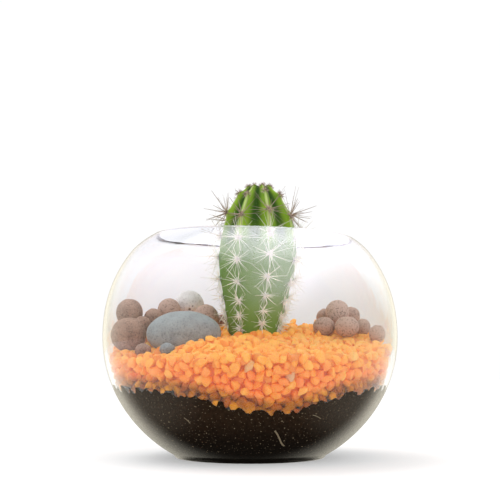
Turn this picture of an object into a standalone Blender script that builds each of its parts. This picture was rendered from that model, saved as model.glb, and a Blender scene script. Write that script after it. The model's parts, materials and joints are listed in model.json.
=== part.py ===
"""A desk terrarium: a blown glass bubble bowl with dark potting soil, a sloping bed of orange
gravel, a grey river stone, a heap of fired clay pebbles on each side and one ribbed cactus.

Run with: blender --background --python part.py. Metres, +Z up. The origin is the centre of the
bowl's foot, on the surface that it stands on. The side that the bowl is looked at from is -Y.
"""

import math
import random
from functools import partial

import bmesh
import bpy
from mathutils import Vector

MM = 0.001

# The glass bowl. Heights are above the table.
BOWL_RADIUS = 90 * MM
WIDEST_HEIGHT = 73.2 * MM
RIM_HEIGHT = 133.8 * MM
UPPER_SEMI_HEIGHT = 84.5 * MM
SHOULDER_POWER = 2.16
LOWER_SEMI_HEIGHT = 83.3 * MM
RIM_TURN_IN = 2.6 * MM
RIM_TURN_HEIGHT = 10 * MM
RIM_SLOPE = 0.0257
WALL = 2.2 * MM
FOOT_RADIUS = 44 * MM
PUNT_RADIUS = 30 * MM
PUNT_DEPTH = 1.2 * MM
FLOOR_HEIGHT = 4.2 * MM
FLOOR_RINGS = (
    (45 * MM, FLOOR_HEIGHT + 1.1 * MM),
    (40 * MM, FLOOR_HEIGHT + 0.4 * MM),
    (25 * MM, FLOOR_HEIGHT),
)
SEGMENTS = 48
WALL_ROWS = (1.6, 4, 7.6, 12, 18, 26, 36, 48, 60, 72, 84, 96, 107, 116, 124, 130, 133.8)
ROWS_IN_FLOOR = 2
LIP = ((0.2, 0.3), (0.5, 0.42), (0.8, 0.3))

# What is left between neighbours that touch.
GAP = 0.4 * MM

# The fill: soil below, gravel above.
SOIL_TOP = 41 * MM
SOIL_FRONT_DIP = 10.5 * MM
SOIL_SIDE_RISE = 4 * MM
GRAVEL_FRONT = 62 * MM
GRAVEL_BACK_RISE = 24 * MM
GRAVEL_SIDE_FALL = 6 * MM
GRAVEL_TILT = 0.025
# Heaps and hollows of the gravel: centre x and y, spread and height, in millimetres.
GRAVEL_HEAPS = (
    (5, -5, 30, 4),  # round the cactus
    (-54, 16, 20, 7),  # under the left pebbles
    (57, 21, 10, 2.5),  # under the right pebbles
    (-26, -38, 8, 7),  # against the river stone
    (-55, -52, 13, 2.5),  # at the front left
    (31, 50, 5.5, 4),  # a small crest at the back
    (25, 50, 17, -8),
    (48, -8, 13, -3),
    (-91, -6, 7, -9),
    (91, 6, 8, -8),
)
SOIL_COURSES = 4
GRAIN_PITCH = 8.6 * MM
GRAIN_RELIEF = 3.4 * MM
GRAIN_SHIFT = 1.5 * MM
GRAIN_TURN = 0.24
TOP_COURSES = 10
SIDE_COURSES = 4

# The cactus.
RIBS = 8
FIRST_RIB = math.radians(-75)
POINTS_PER_RIB = 4
CACTUS_FOOT_X = 2.6 * MM
CACTUS_LEAN = 3.2 * MM
STEM_BOTTOM = 22 * MM
STEM_TAPER_TOP = 70 * MM
CACTUS_WIDEST_HEIGHT = 122 * MM
CACTUS_TOP = 167 * MM
ROOT_RADIUS = 9 * MM
STEM_FOOT_RADIUS = 15.7 * MM
CACTUS_RADIUS = 24.8 * MM
CROWN_POWER = 2.15
CROWN_DIMPLE = 1.2 * MM
BURIED_ROWS = [24, 32, 44, 56, 66]
SHOWN_ROWS = [74, 82, 91, 100, 110, 122, 133, 142, 149, 154.5, 159, 162.5, 165]
FIRST_AREOLE = 80.2 * MM
SPINE_RADIUS = 0.42 * MM
SPINE_ROOT = 1.6 * MM
AREOLE_RADIUS = 1.15 * MM
RADIAL_SPINES = 6

# Stones: name, centre x, y and z, half width, half depth and half height, all in millimetres.
STONES = (
    ("river_stone", -39.6, -22.0, 74.1, 22.3, 13.5, 13.0),
    ("clay_pebble_left_1", -73.2, -14.0, 73.6, 10.6, 10.2, 10.4),
    ("clay_pebble_left_2", -74.4, -1.1, 87.2, 8.5, 8.2, 8.5),
    ("clay_pebble_left_3", -80.8, 8.0, 77.4, 5.5, 5.5, 5.8),
    ("clay_pebble_left_4", -60.0, 2.8, 83.4, 6.1, 6.1, 6.4),
    ("clay_pebble_left_5", -51.1, 14.0, 89.0, 7.4, 7.2, 7.4),
    ("pale_pebble", -39.2, 26.6, 93.1, 9.3, 8.4, 8.6),
    ("clay_pebble_left_6", -27.4, 8.0, 84.5, 7.8, 6.8, 7.6),
    ("clay_pebble_left_7", -18.2, 20.5, 81.6, 5.4, 5.4, 5.2),
    ("clay_pebble_left_8", -61.4, -38.0, 63.4, 4.7, 4.7, 4.7),
    ("grey_pebble", -47.4, -41.0, 64.7, 4.6, 4.2, 3.8),
    ("clay_pebble_right_1", 59.9, 0.0, 78.7, 7.5, 6.8, 6.3),
    ("clay_pebble_right_2", 46.1, 7.4, 79.2, 7.0, 6.6, 5.6),
    ("clay_pebble_right_3", 55.4, 17.4, 87.9, 7.8, 7.4, 7.6),
    ("clay_pebble_right_4", 47.9, 29.6, 85.4, 5.1, 5.1, 5.2),
    ("clay_pebble_right_5", 65.3, 27.8, 85.9, 5.8, 5.6, 5.9),
    ("clay_pebble_right_6", 70.8, 10.4, 78.8, 4.9, 4.9, 5.0),
    ("clay_pebble_right_7", 78.1, -3.0, 74.3, 5.3, 5.0, 5.4),
)
# A stone may have a second lobe, fused to it in the kiln: its offset and radius.
LOBES = {"clay_pebble_left_1": (8.0, 3.0, 6.1, 5.2)}
RIVER_STONE_TILT = math.radians(-5)

# Colours are linear RGB, with roughness and metallic beside them.
FINISHES = {
    "clear_glass": ((0.92, 0.95, 0.96), 0.02, 0.0),
    "potting_soil": ((0.018, 0.012, 0.008), 0.95, 0.0),
    "orange_gravel": ((0.90, 0.27, 0.05), 0.7, 0.0),
    "grey_stone": ((0.17, 0.19, 0.21), 0.75, 0.0),
    "pale_stone": ((0.36, 0.31, 0.30), 0.85, 0.0),
    "fired_clay": ((0.20, 0.10, 0.07), 0.9, 0.0),
    "cactus_green": ((0.10, 0.22, 0.04), 0.5, 0.0),
}


def clear_scene():
    """Takes away the startup objects."""
    for obj in list(bpy.data.objects):
        bpy.data.objects.remove(obj)


def smooth_step(t):
    """0 below 0, 1 above 1, and an even S between."""
    t = min(1.0, max(0.0, t))
    return t * t * (3 - 2 * t)


def bell(x, y, centre_x, centre_y, spread):
    """A round hump of height 1."""
    return math.exp(-((x - centre_x) ** 2 + (y - centre_y) ** 2) / (2 * spread**2))


def finish(obj, name):
    """Gives an object its material, made once for each finish."""
    material = bpy.data.materials.get(name) or bpy.data.materials.new(name)
    material.use_nodes = True
    colour, roughness, metallic = FINISHES[name]
    shader = material.node_tree.nodes["Principled BSDF"]
    shader.inputs["Base Color"].default_value = (*colour, 1)
    shader.inputs["Roughness"].default_value = roughness
    shader.inputs["Metallic"].default_value = metallic
    obj.data.materials.clear()
    obj.data.materials.append(material)
    return obj


def new_object(name, mesh):
    """Puts a mesh in the scene as an object of that name."""
    obj = bpy.data.objects.new(name, mesh)
    bpy.context.scene.collection.objects.link(obj)
    return obj


def skin(name, rings):
    """A closed solid through rings of points. The first and the last ring are each one point."""
    mesh = bmesh.new()
    rows = [[mesh.verts.new(point) for point in ring] for ring in rings]
    for low, high in zip(rows, rows[1:]):
        count = max(len(low), len(high))
        for i in range(count):
            corners = [low[i % len(low)], low[(i + 1) % len(low)]]
            corners += [high[(i + 1) % len(high)], high[i % len(high)]]
            mesh.faces.new(list(dict.fromkeys(corners)))
    bmesh.ops.recalc_face_normals(mesh, faces=mesh.faces)
    data = bpy.data.meshes.new(name)
    mesh.to_mesh(data)
    mesh.free()
    data.shade_smooth()
    return new_object(name, data)


def ring(radius, height, count=SEGMENTS):
    """Points round the bowl's axis. Radius and height are numbers, or functions of the angle."""
    points = []
    for i in range(count):
        angle = 2 * math.pi * i / count
        r = radius(angle) if callable(radius) else radius
        z = height(angle, r) if callable(height) else height
        points.append((r * math.cos(angle), r * math.sin(angle), z))
    return points


def combine(obj, operation, others, solver="EXACT"):
    """Joins the other objects to obj, or cuts them from it, and removes them."""
    group = bpy.data.collections.new(operation)
    bpy.context.scene.collection.children.link(group)
    for other in others:
        bpy.context.scene.collection.objects.unlink(other)
        group.objects.link(other)
    change = obj.modifiers.new(operation, "BOOLEAN")
    change.operation = operation
    change.solver = solver
    change.operand_type = "COLLECTION"
    change.collection = group
    graph = bpy.context.evaluated_depsgraph_get()
    made = bpy.data.meshes.new_from_object(obj.evaluated_get(graph))
    obj.modifiers.clear()
    obj.data = made
    for other in list(group.objects):
        bpy.data.objects.remove(other)
    bpy.data.collections.remove(group)
    return obj


def drop_scraps(obj):
    """Keeps only the largest of the bodies that a cut has left."""
    mesh = bmesh.new()
    mesh.from_mesh(obj.data)
    left, bodies = set(mesh.verts), []
    while left:
        front = [left.pop()]
        body = set(front)
        while front:
            for edge in front.pop().link_edges:
                for vert in edge.verts:
                    if vert in left:
                        left.discard(vert)
                        body.add(vert)
                        front.append(vert)
        bodies.append(body)
    largest = max(bodies, key=len)
    scraps = [v for body in bodies if body is not largest for v in body]
    bmesh.ops.delete(mesh, geom=scraps, context="VERTS")
    mesh.to_mesh(obj.data)
    mesh.free()


# The glass bowl


def bowl_radius(height, inset=0.0):
    """The bowl's outer radius at a height, less an inset measured square to the wall."""

    def outline(z):
        if z > WIDEST_HEIGHT:
            share = (z - WIDEST_HEIGHT) / UPPER_SEMI_HEIGHT
            turn = max(0.0, z - RIM_HEIGHT + RIM_TURN_HEIGHT) / RIM_TURN_HEIGHT
            return BOWL_RADIUS * math.sqrt(1 - share**SHOULDER_POWER) - RIM_TURN_IN * turn**2
        share = (WIDEST_HEIGHT - z) / LOWER_SEMI_HEIGHT
        return BOWL_RADIUS * math.sqrt(1 - share**2)

    step = 0.1 * MM
    slope = (outline(height + step) - outline(height - step)) / (2 * step)
    return outline(height) - inset * math.sqrt(1 + slope**2)


def rim_height(angle):
    """The hand-cut rim stands a little higher on the left than on the right."""
    return RIM_HEIGHT - RIM_SLOPE * bowl_radius(RIM_HEIGHT) * math.cos(angle)


def wall_ring(row, inset):
    """One of the wall's rows. They close up a little on the right, where the rim is lower."""
    low, high = WALL_ROWS[0] * MM, WALL_ROWS[-1] * MM
    share = (row * MM - low) / (high - low)

    def height(angle, _radius=None):
        return low + share * (rim_height(angle) - low)

    return ring(lambda angle: bowl_radius(height(angle), inset), height)


def make_bowl():
    """The wall goes up outside, over a rounded lip and down inside to a thicker floor."""
    outside = [wall_ring(row, 0) for row in WALL_ROWS]
    inside = [wall_ring(row, WALL) for row in WALL_ROWS[ROWS_IN_FLOOR:]]
    lip = []
    for inset, rise in LIP:
        lip.append([(x, y, z + rise * WALL) for x, y, z in wall_ring(WALL_ROWS[-1], inset * WALL)])
    foot = [
        [(0, 0, PUNT_DEPTH)],
        ring(PUNT_RADIUS - 3 * MM, PUNT_DEPTH),
        ring(PUNT_RADIUS, 0),
        ring(FOOT_RADIUS, 0),
        ring(FOOT_RADIUS + 1.4 * MM, 0.5 * MM),
    ]
    floor = [ring(radius, height) for radius, height in FLOOR_RINGS]
    floor.append([(0, 0, FLOOR_HEIGHT)])
    return finish(skin("glass_bowl", foot + outside + lip + inside[::-1] + floor), "clear_glass")


# The soil and the gravel


def soil_top(x, y):
    """The soil's surface, which dips at the front glass and rises at the two sides."""
    dip = SOIL_FRONT_DIP * bell(x, y, 14 * MM, -82 * MM, 25 * MM)
    return SOIL_TOP - dip + SOIL_SIDE_RISE * (x / BOWL_RADIUS) ** 2


def gravel_top(x, y):
    """The gravel's surface: banked up to the back, lower at the sides, with its heaps and hollows."""
    bank = GRAVEL_BACK_RISE * smooth_step((y + 85 * MM) / (155 * MM))
    side = GRAVEL_SIDE_FALL * (x / (85 * MM)) ** 2
    heaps = 0.0
    for centre_x, centre_y, spread, height in GRAVEL_HEAPS:
        heaps += height * MM * bell(x, y, centre_x * MM, centre_y * MM, spread * MM)
    return GRAVEL_FRONT + bank - side + GRAVEL_TILT * x + heaps


def edge_radius(surface, angle, inset):
    """Where a surface meets the bowl's wall, less an inset, found by stepping towards it."""
    radius = BOWL_RADIUS - inset
    for _ in range(6):
        height = surface(radius * math.cos(angle), radius * math.sin(angle))
        radius = bowl_radius(height, inset)
    return radius


def surface_ring(surface, share, inset, lift=0.0):
    """A ring that lies on a surface, at a share of the way from the axis to the wall."""

    def height(angle, radius):
        return surface(radius * math.cos(angle), radius * math.sin(angle)) + lift

    return ring(lambda angle: share * edge_radius(surface, angle, inset), height)


def side_ring(low, high, share, inset):
    """A ring down the wall, at a share of the way between two surfaces."""
    points = []
    for i in range(SEGMENTS):
        angle = 2 * math.pi * i / SEGMENTS
        ends = []
        for surface in (low, high):
            radius = edge_radius(surface, angle, inset)
            ends.append(surface(radius * math.cos(angle), radius * math.sin(angle)))
        z = ends[0] + share * (ends[1] - ends[0])
        radius = bowl_radius(z, inset)
        points.append((radius * math.cos(angle), radius * math.sin(angle), z))
    return points


def make_soil(stem):
    """Soil fills the foot of the bowl, with a plain hole that the cactus stands in."""
    inset = WALL + GAP
    base = [[(0, 0, FLOOR_HEIGHT + GAP)]]
    base += [ring(radius - GAP, height + GAP) for radius, height in FLOOR_RINGS[::-1]]

    def lowest(_x, _y):
        return WALL_ROWS[ROWS_IN_FLOOR] * MM

    side = [side_ring(lowest, soil_top, i / SOIL_COURSES, inset) for i in range(SOIL_COURSES)]
    top = [surface_ring(soil_top, share, inset) for share in (1, 0.7, 0.4)]
    top.append([(0, 0, soil_top(0, 0))])
    soil = skin("potting_soil", base + side + top)
    combine(soil, "DIFFERENCE", [stem])
    return finish(soil, "potting_soil")


def jittered_ring(rng, place, count, phase, wander):
    """A ring of grain places, each a little off its even spacing."""
    points = []
    for i in range(count):
        angle = 2 * math.pi * (i + phase + rng.uniform(-wander, wander)) / count
        points.append((angle, Vector(place(angle))))
    return points


def strip(low, high):
    """Triangles between two rings of points, whose counts may differ, as pairs of ring and index."""
    faces = []
    i = j = 0
    while i < len(low) or j < len(high):
        next_low = low[i % len(low)][0] + 2 * math.pi * ((i + len(low)) // len(low) - 1)
        next_high = high[j % len(high)][0] + 2 * math.pi * ((j + len(high)) // len(high) - 1)
        if j >= len(high) or (i < len(low) and next_low <= next_high):
            faces.append((("low", i), ("low", i + 1), ("high", j)))
            i += 1
        else:
            faces.append((("low", i), ("high", j + 1), ("high", j)))
            j += 1
    return faces


def bed_places():
    """Rings of grain places from the middle of the top, over the edge and down the side."""
    rng = random.Random(11)
    inset = WALL + 1.5 * GAP

    def shift(share):
        return rng.uniform(-GRAIN_SHIFT, GRAIN_SHIFT) * (share < 1)

    def on_top(angle, share):
        radius = share * edge_radius(gravel_top, angle, inset) + shift(share)
        x, y = radius * math.cos(angle), radius * math.sin(angle)
        return x, y, gravel_top(x, y) + 0.4 * shift(share)

    def on_side(angle, share):
        ends = []
        for surface, lift in ((gravel_top, 0), (soil_top, 2 * GAP)):
            radius = edge_radius(surface, angle, inset)
            ends.append(surface(radius * math.cos(angle), radius * math.sin(angle)) + lift)
        z = ends[0] + share * (ends[1] - ends[0]) + shift(share)
        radius = bowl_radius(z, inset)
        return radius * math.cos(angle), radius * math.sin(angle), z

    rings = [[(0.0, Vector((0, 0, gravel_top(0, 0))))]]
    for k in range(1, TOP_COURSES + 1):
        count = round(2 * math.pi * k)
        place = partial(on_top, share=k / TOP_COURSES)
        rings.append(jittered_ring(rng, place, count, 0.5 * (k % 2), GRAIN_TURN))
    count = round(2 * math.pi * bowl_radius(SOIL_TOP) / GRAIN_PITCH)
    for k in range(1, SIDE_COURSES + 1):
        place = partial(on_side, share=k / SIDE_COURSES)
        rings.append(jittered_ring(rng, place, count, 0.5 * (k % 2), GRAIN_TURN * (k < SIDE_COURSES)))
    return rings


def under_places():
    """Coarse rings under the bed, in to its middle, just clear of the soil."""
    rings = []
    for share, count in ((0.7, 24), (0.35, 12)):
        points = []
        for i in range(count):
            angle = 2 * math.pi * i / count
            radius = share * edge_radius(soil_top, angle, WALL + GAP)
            x, y = radius * math.cos(angle), radius * math.sin(angle)
            points.append((angle, Vector((x, y, soil_top(x, y) + 2 * GAP))))
        rings.append(points)
    return rings + [[(0.0, Vector((0, 0, soil_top(0, 0) + 2 * GAP)))]]


def bed_triangles(rings):
    """Triangles between the rings, as triples of ring and place."""
    faces = []
    for k, (low, high) in enumerate(zip(rings, rings[1:])):
        for corners in strip(low, high):
            face = []
            for side, i in corners:
                row = k if side == "low" else k + 1
                face.append((row, i % len(rings[row])))
            if len(set(face)) == 3:
                faces.append(face)
    return faces


def hollow_points(rings, faces, rough):
    """Where grains meet: a point sunk below the middle of each triangle of the rough surface."""
    rng = random.Random(4)
    shape = bmesh.new()
    verts = {}
    for row, places in enumerate(rings):
        for i, (_, point) in enumerate(places):
            verts[row, i] = shape.verts.new(point)
    for face in faces:
        shape.faces.new([verts[corner] for corner in face])
    bmesh.ops.recalc_face_normals(shape, faces=shape.faces)
    shape.normal_update()
    hollows = {}
    for n, face in enumerate(faces):
        if max(row for row, _ in face) >= rough:
            continue
        outwards = sum((verts[corner].normal for corner in face), Vector()).normalized()
        middle = sum((verts[corner].co for corner in face), Vector()) / 3
        point = middle - outwards * GRAIN_RELIEF * rng.uniform(0.5, 1.0)
        point.z = max(point.z, soil_top(point.x, point.y) + 2 * GAP)
        hollows[n] = point
    shape.free()
    return hollows


def make_gravel(cutters):
    """The bed, with a facetted grain raised at each place and a hollow where grains meet."""
    rings = bed_places()
    rough = len(rings)
    rings += under_places()
    faces = bed_triangles(rings)
    points = hollow_points(rings, faces, rough)

    shape = bmesh.new()
    verts = {}
    for row, places in enumerate(rings):
        for i, (_, point) in enumerate(places):
            verts[row, i] = shape.verts.new(point)
    hollows = {n: shape.verts.new(point) for n, point in points.items()}
    beside = {}
    for n, face in enumerate(faces):
        for a, b in zip(face, face[1:] + face[:1]):
            beside[a, b] = n
    for n, face in enumerate(faces):
        if n not in hollows:
            shape.faces.new([verts[corner] for corner in face])
            continue
        for a, b in zip(face, face[1:] + face[:1]):
            other = beside[b, a]
            if other not in hollows:
                shape.faces.new((verts[a], verts[b], hollows[n]))
            elif n < other:
                shape.faces.new((verts[a], hollows[other], hollows[n]))
                shape.faces.new((verts[b], hollows[n], hollows[other]))
    bmesh.ops.recalc_face_normals(shape, faces=shape.faces)
    data = bpy.data.meshes.new("orange_gravel")
    shape.to_mesh(data)
    shape.free()
    bed = new_object("orange_gravel", data)
    combine(bed, "DIFFERENCE", cutters)
    drop_scraps(bed)
    return finish(bed, "orange_gravel")


# The stones


def make_ball(name, centre, radii, rounds, grow):
    """A ball stretched to three radii, a little uneven. Grow makes it larger all round."""
    mesh = bpy.data.meshes.new(name)
    shape = bmesh.new()
    bmesh.ops.create_icosphere(shape, subdivisions=rounds, radius=1)
    rng = random.Random(name)
    waves = []
    for _ in range(3):
        way = Vector([rng.uniform(-2.2, 2.2) for _ in range(3)])
        waves.append((way, rng.uniform(0, 6)))
    for vert in shape.verts:
        swell = 1 + sum(0.018 * math.sin(vert.co.dot(way) + phase) for way, phase in waves)
        size = Vector(radii) * MM * swell + Vector((grow, grow, grow))
        vert.co = Vector(p * q for p, q in zip(vert.co, size))
    shape.to_mesh(mesh)
    shape.free()
    mesh.shade_smooth()
    obj = new_object(name, mesh)
    obj.location = Vector(centre) * MM
    if name == "river_stone":
        obj.rotation_euler.y = RIVER_STONE_TILT
    return obj


def make_stone(stone, grow=0.0):
    """A rounded stone. Grow makes the larger shape that the bed is cut by."""
    name, x, y, z, a, b, c = stone
    obj = make_ball(name, (x, y, z), (a, b, c), 3 if max(a, b, c) > 10 else 2, grow)
    if name in LOBES:
        dx, dy, dz, radius = LOBES[name]
        lobe = make_ball("lobe", (x + dx, y + dy, z + dz), (radius,) * 3, 2, grow)
        bpy.context.view_layer.update()
        combine(obj, "UNION", [lobe])
    kinds = {"river_stone": "grey_stone", "grey_pebble": "grey_stone", "pale_pebble": "pale_stone"}
    finish(obj, kinds.get(name, "fired_clay"))
    if grow:
        obj.name = "cutter_" + name
    return obj


# The cactus


def cactus_centre(height):
    """The stem's axis leans a little to the right as it rises, and then goes straight up."""
    lean = CACTUS_LEAN * smooth_step((height - STEM_TAPER_TOP) / (75 * MM))
    return Vector((CACTUS_FOOT_X + lean, 0, height))


def crest_radius(height):
    """The stem's radius at the crest of a rib: a half ellipse above, a long taper below."""
    if height > CACTUS_WIDEST_HEIGHT:
        share = (height - CACTUS_WIDEST_HEIGHT) / (CACTUS_TOP - CACTUS_WIDEST_HEIGHT)
        return CACTUS_RADIUS * math.sqrt(max(0.0, 1 - share**CROWN_POWER))
    if height > STEM_TAPER_TOP:
        share = (height - STEM_TAPER_TOP) / (CACTUS_WIDEST_HEIGHT - STEM_TAPER_TOP)
        return STEM_FOOT_RADIUS + (CACTUS_RADIUS - STEM_FOOT_RADIUS) * smooth_step(share)
    share = (height - STEM_BOTTOM) / (STEM_TAPER_TOP - STEM_BOTTOM)
    return ROOT_RADIUS + (STEM_FOOT_RADIUS - ROOT_RADIUS) * smooth_step(share)


def groove_share(height):
    """How deep the grooves between the ribs are: none below the gravel, deepest on the dome."""
    start = smooth_step((height - 66 * MM) / (40 * MM))
    dome = smooth_step((height - 128 * MM) / (30 * MM))
    return 0.10 * start + 0.15 * dome


def stem_point(angle, height):
    """A point on the stem's skin."""
    from_crest = abs((angle - FIRST_RIB) * RIBS / (2 * math.pi) % 1 - 0.5) * 2
    groove = groove_share(height) * (1 - from_crest) ** 0.9
    radius = crest_radius(height) * (1 - groove)
    return cactus_centre(height) + radius * Vector((math.cos(angle), math.sin(angle), 0))


def stem_rings(heights):
    """Rings of the ribbed stem, with points on every crest and in every groove."""
    count = RIBS * POINTS_PER_RIB
    turns = [FIRST_RIB + 2 * math.pi * i / count for i in range(count)]
    return [[stem_point(angle, height) for angle in turns] for height in heights]


def stem_cutter():
    """The stem up to a little above the gravel, grown by the gap all round."""
    count = 24
    below = Vector((0, 0, GAP))
    rings = [[cactus_centre(STEM_BOTTOM) - below]]
    for height in [STEM_BOTTOM / MM] + BURIED_ROWS + SHOWN_ROWS[:3]:
        radius = crest_radius(height * MM) + 1.6 * GAP
        middle = cactus_centre(height * MM) - (below if len(rings) == 1 else Vector())
        turns = [2 * math.pi * i / count for i in range(count)]
        rings.append([middle + radius * Vector((math.cos(t), math.sin(t), 0)) for t in turns])
    rings.append([middle + Vector((0, 0, MM))])
    return skin("stem_cutter", rings)


def areole_heights(rib):
    """Areoles sit close together at the foot and further apart above, staggered rib by rib."""
    height = FIRST_AREOLE - (2.8 * MM if rib % 2 else 0)
    step = 7.4 * MM
    heights = []
    while height < CACTUS_TOP - 3 * MM:
        heights.append(height)
        height += step
        near_top = smooth_step((height - 140 * MM) / (20 * MM))
        step = min(14 * MM, step * 1.22) * (1 - 0.3 * near_top)
    return heights


def spine_length(height):
    """Short at the foot, longest round the shoulder and short again on the young crown."""
    grown = 6.5 * MM + 6 * MM * smooth_step((height - 80 * MM) / (40 * MM))
    young = smooth_step((height - 150 * MM) / (16 * MM))
    return grown * (1 - 0.62 * young)


def clear_of_the_rest(point):
    """True if a spine's tip is clear of the gravel and of every stone."""
    if point.z < gravel_top(point.x, point.y) + 2.5 * MM:
        return False
    for _, x, y, z, a, b, c in STONES:
        offset = point / MM - Vector((x, y, z))
        reach = Vector(d / (half + 1.5) for d, half in zip(offset, (a, b, c)))
        if reach.length < 1:
            return False
    return True


def make_spine(root, direction, length):
    """A three-sided needle, which starts inside the stem and ends in a point."""
    shape = bmesh.new()
    side = direction.orthogonal().normalized()
    other = direction.cross(side)
    start = root - direction * SPINE_ROOT
    base = []
    for i in range(3):
        turn = 2 * math.pi * i / 3
        across = math.cos(turn) * side + math.sin(turn) * other
        base.append(shape.verts.new(start + SPINE_RADIUS * across))
    tip = shape.verts.new(root + direction * length)
    shape.faces.new(base)
    for i in range(3):
        shape.faces.new((base[i], base[(i + 1) % 3], tip))
    bmesh.ops.recalc_face_normals(shape, faces=shape.faces)
    mesh = bpy.data.meshes.new("spine")
    shape.to_mesh(mesh)
    shape.free()
    return new_object("spine", mesh)


def spines():
    """A star of spines at every areole: six spread out over the skin and one that points away."""
    rng = random.Random(5)
    made = []
    for rib in range(RIBS):
        angle = FIRST_RIB + 2 * math.pi * rib / RIBS
        for height in areole_heights(rib):
            spot = stem_point(angle, height)
            above = stem_point(angle, min(height + MM, CACTUS_TOP))
            along = (above - stem_point(angle, height - MM)).normalized()
            outward = along.cross(Vector((math.sin(angle), -math.cos(angle), 0))).normalized()
            if outward.dot(spot - cactus_centre(height)) < 0:
                outward = -outward
            across = outward.cross(along)
            first = rng.uniform(0, math.pi / 3)
            for k in range(RADIAL_SPINES + 1):
                turn = first + 2 * math.pi * k / RADIAL_SPINES
                spread = math.cos(turn) * across + math.sin(turn) * along
                lift = math.radians(rng.uniform(24, 38))
                direction = math.cos(lift) * spread + math.sin(lift) * outward
                root = spot + AREOLE_RADIUS * spread - 0.25 * MM * outward
                if k == RADIAL_SPINES:
                    direction, root = (outward + 0.25 * along).normalized(), spot
                length = spine_length(height) * rng.uniform(0.8, 1.15)
                middle = root + direction * (0.6 * length)
                if clear_of_the_rest(root + direction * length) and clear_of_the_rest(middle):
                    made.append(make_spine(root, direction, length))
    return made


def make_cactus():
    """The stem, from its root in the soil to its crown, with its spines grown into it."""
    rings = [[cactus_centre(STEM_BOTTOM)]]
    rings += stem_rings([height * MM for height in BURIED_ROWS + SHOWN_ROWS])
    rings.append([cactus_centre(CACTUS_TOP - CROWN_DIMPLE)])
    cactus = skin("cactus", rings)
    combine(cactus, "UNION", spines(), "MANIFOLD")
    return finish(cactus, "cactus_green")


def main():
    clear_scene()
    make_bowl()
    make_soil(stem_cutter())
    make_gravel([make_stone(stone, GAP) for stone in STONES] + [stem_cutter()])
    for stone in STONES:
        make_stone(stone)
    make_cactus()


main()
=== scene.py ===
# %% [markdown]
# # A desk terrarium under studio light
# This lesson dresses a plain CAD model of a small terrarium: a blown glass bubble bowl with dark
# potting soil, a bank of orange gravel, a grey river stone, fired clay pebbles and one ribbed cactus.
# The CAD parts are imported as a fixed frame. Each of them is then replaced by a finer piece that
# keeps its place and its form, because a frame made for collision has flat facets where the real
# thing has grains, spines and polished glass.

import json
import math
import random

import bmesh
import bpy
from mathutils import Matrix, Vector, noise

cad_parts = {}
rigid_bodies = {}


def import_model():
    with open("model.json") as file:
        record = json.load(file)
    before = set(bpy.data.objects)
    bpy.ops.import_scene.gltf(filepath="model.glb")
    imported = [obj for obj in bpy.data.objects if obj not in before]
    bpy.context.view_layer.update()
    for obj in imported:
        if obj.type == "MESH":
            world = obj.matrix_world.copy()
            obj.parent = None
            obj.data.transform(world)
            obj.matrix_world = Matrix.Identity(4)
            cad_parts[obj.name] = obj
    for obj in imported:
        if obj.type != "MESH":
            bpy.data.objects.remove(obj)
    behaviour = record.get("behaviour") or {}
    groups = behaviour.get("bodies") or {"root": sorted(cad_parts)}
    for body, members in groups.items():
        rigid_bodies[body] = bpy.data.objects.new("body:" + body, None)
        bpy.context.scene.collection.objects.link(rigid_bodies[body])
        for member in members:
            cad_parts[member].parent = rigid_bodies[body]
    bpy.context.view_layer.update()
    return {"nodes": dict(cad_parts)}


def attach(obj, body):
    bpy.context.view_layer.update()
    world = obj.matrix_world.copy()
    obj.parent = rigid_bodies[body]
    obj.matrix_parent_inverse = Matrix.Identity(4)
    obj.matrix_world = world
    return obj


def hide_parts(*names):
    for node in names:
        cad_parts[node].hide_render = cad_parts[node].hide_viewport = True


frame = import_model()

# %% [markdown]
# ## Small tools
# Blender works in metres, and a maker thinks in millimetres, so one constant turns one into the
# other. Node trees for materials and for Geometry Nodes are built by the same function: it adds a
# node, sets its options, and either links or sets each of its inputs. A few short calls stand on it
# for the nodes that come up most, such as a blend of two colours.

# %% One function adds any node
MM = 0.001


def add(tree, kind, options=None, inputs=None):
    """Adds a node. An input's value is a number, a colour, or the output socket to link from."""
    made = tree.nodes.new(kind)
    for name, value in (options or {}).items():
        setattr(made, name, value)
    for name, value in (inputs or {}).items():
        if isinstance(value, bpy.types.NodeSocket):
            tree.links.new(value, made.inputs[name])
        else:
            made.inputs[name].default_value = value
    return made


# %% Colours are written as sRGB hex and turned to linear
def paint(hex_code):
    """Linear RGBA from an sRGB hex code, as a picture editor shows it."""
    shares = [int(hex_code[i : i + 2], 16) / 255 for i in (1, 3, 5)]
    linear = [s / 12.92 if s <= 0.04045 else ((s + 0.055) / 1.055) ** 2.4 for s in shares]
    return (*linear, 1.0)


print("mid grey is", [round(v, 3) for v in paint("#808080")])


# %% Short calls for the nodes that come up most. Each returns what its node gives out
def follow(kind, inputs, options=None):
    """Adds a node to the tree of the sockets that lead into it."""
    tree = next(value.id_data for value in inputs.values() if isinstance(value, bpy.types.NodeSocket))
    return add(tree, kind, options, inputs)


def blend(share, first, second):
    """One colour turns into another. Each is a hex code, linear RGBA or the socket of a colour."""
    first, second = [paint(end) if isinstance(end, str) else end for end in (first, second)]
    return follow("ShaderNodeMix", {0: share, 6: first, 7: second}, {"data_type": "RGBA"}).outputs[2]


def mix(share, first, second):
    """One number turns into another."""
    return follow("ShaderNodeMix", {0: share, 2: first, 3: second}).outputs[0]


def even_step(value, between=(0, 1), to=(0, 1), course="LINEAR"):
    """While the value runs between two numbers, the result runs from one end to the other."""
    inputs = {"Value": value, "From Min": between[0], "From Max": between[1]}
    inputs.update({"To Min": to[0], "To Max": to[1]})
    return follow("ShaderNodeMapRange", inputs, {"interpolation_type": course}).outputs[0]


def soft_step(value, between=(0, 1), to=(0, 1)):
    """The same in an even S."""
    return even_step(value, between, to, "SMOOTHSTEP")


def maths(operation, *values):
    """What one or two numbers make."""
    return follow("ShaderNodeMath", dict(enumerate(values)), {"operation": operation}).outputs[0]


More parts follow.
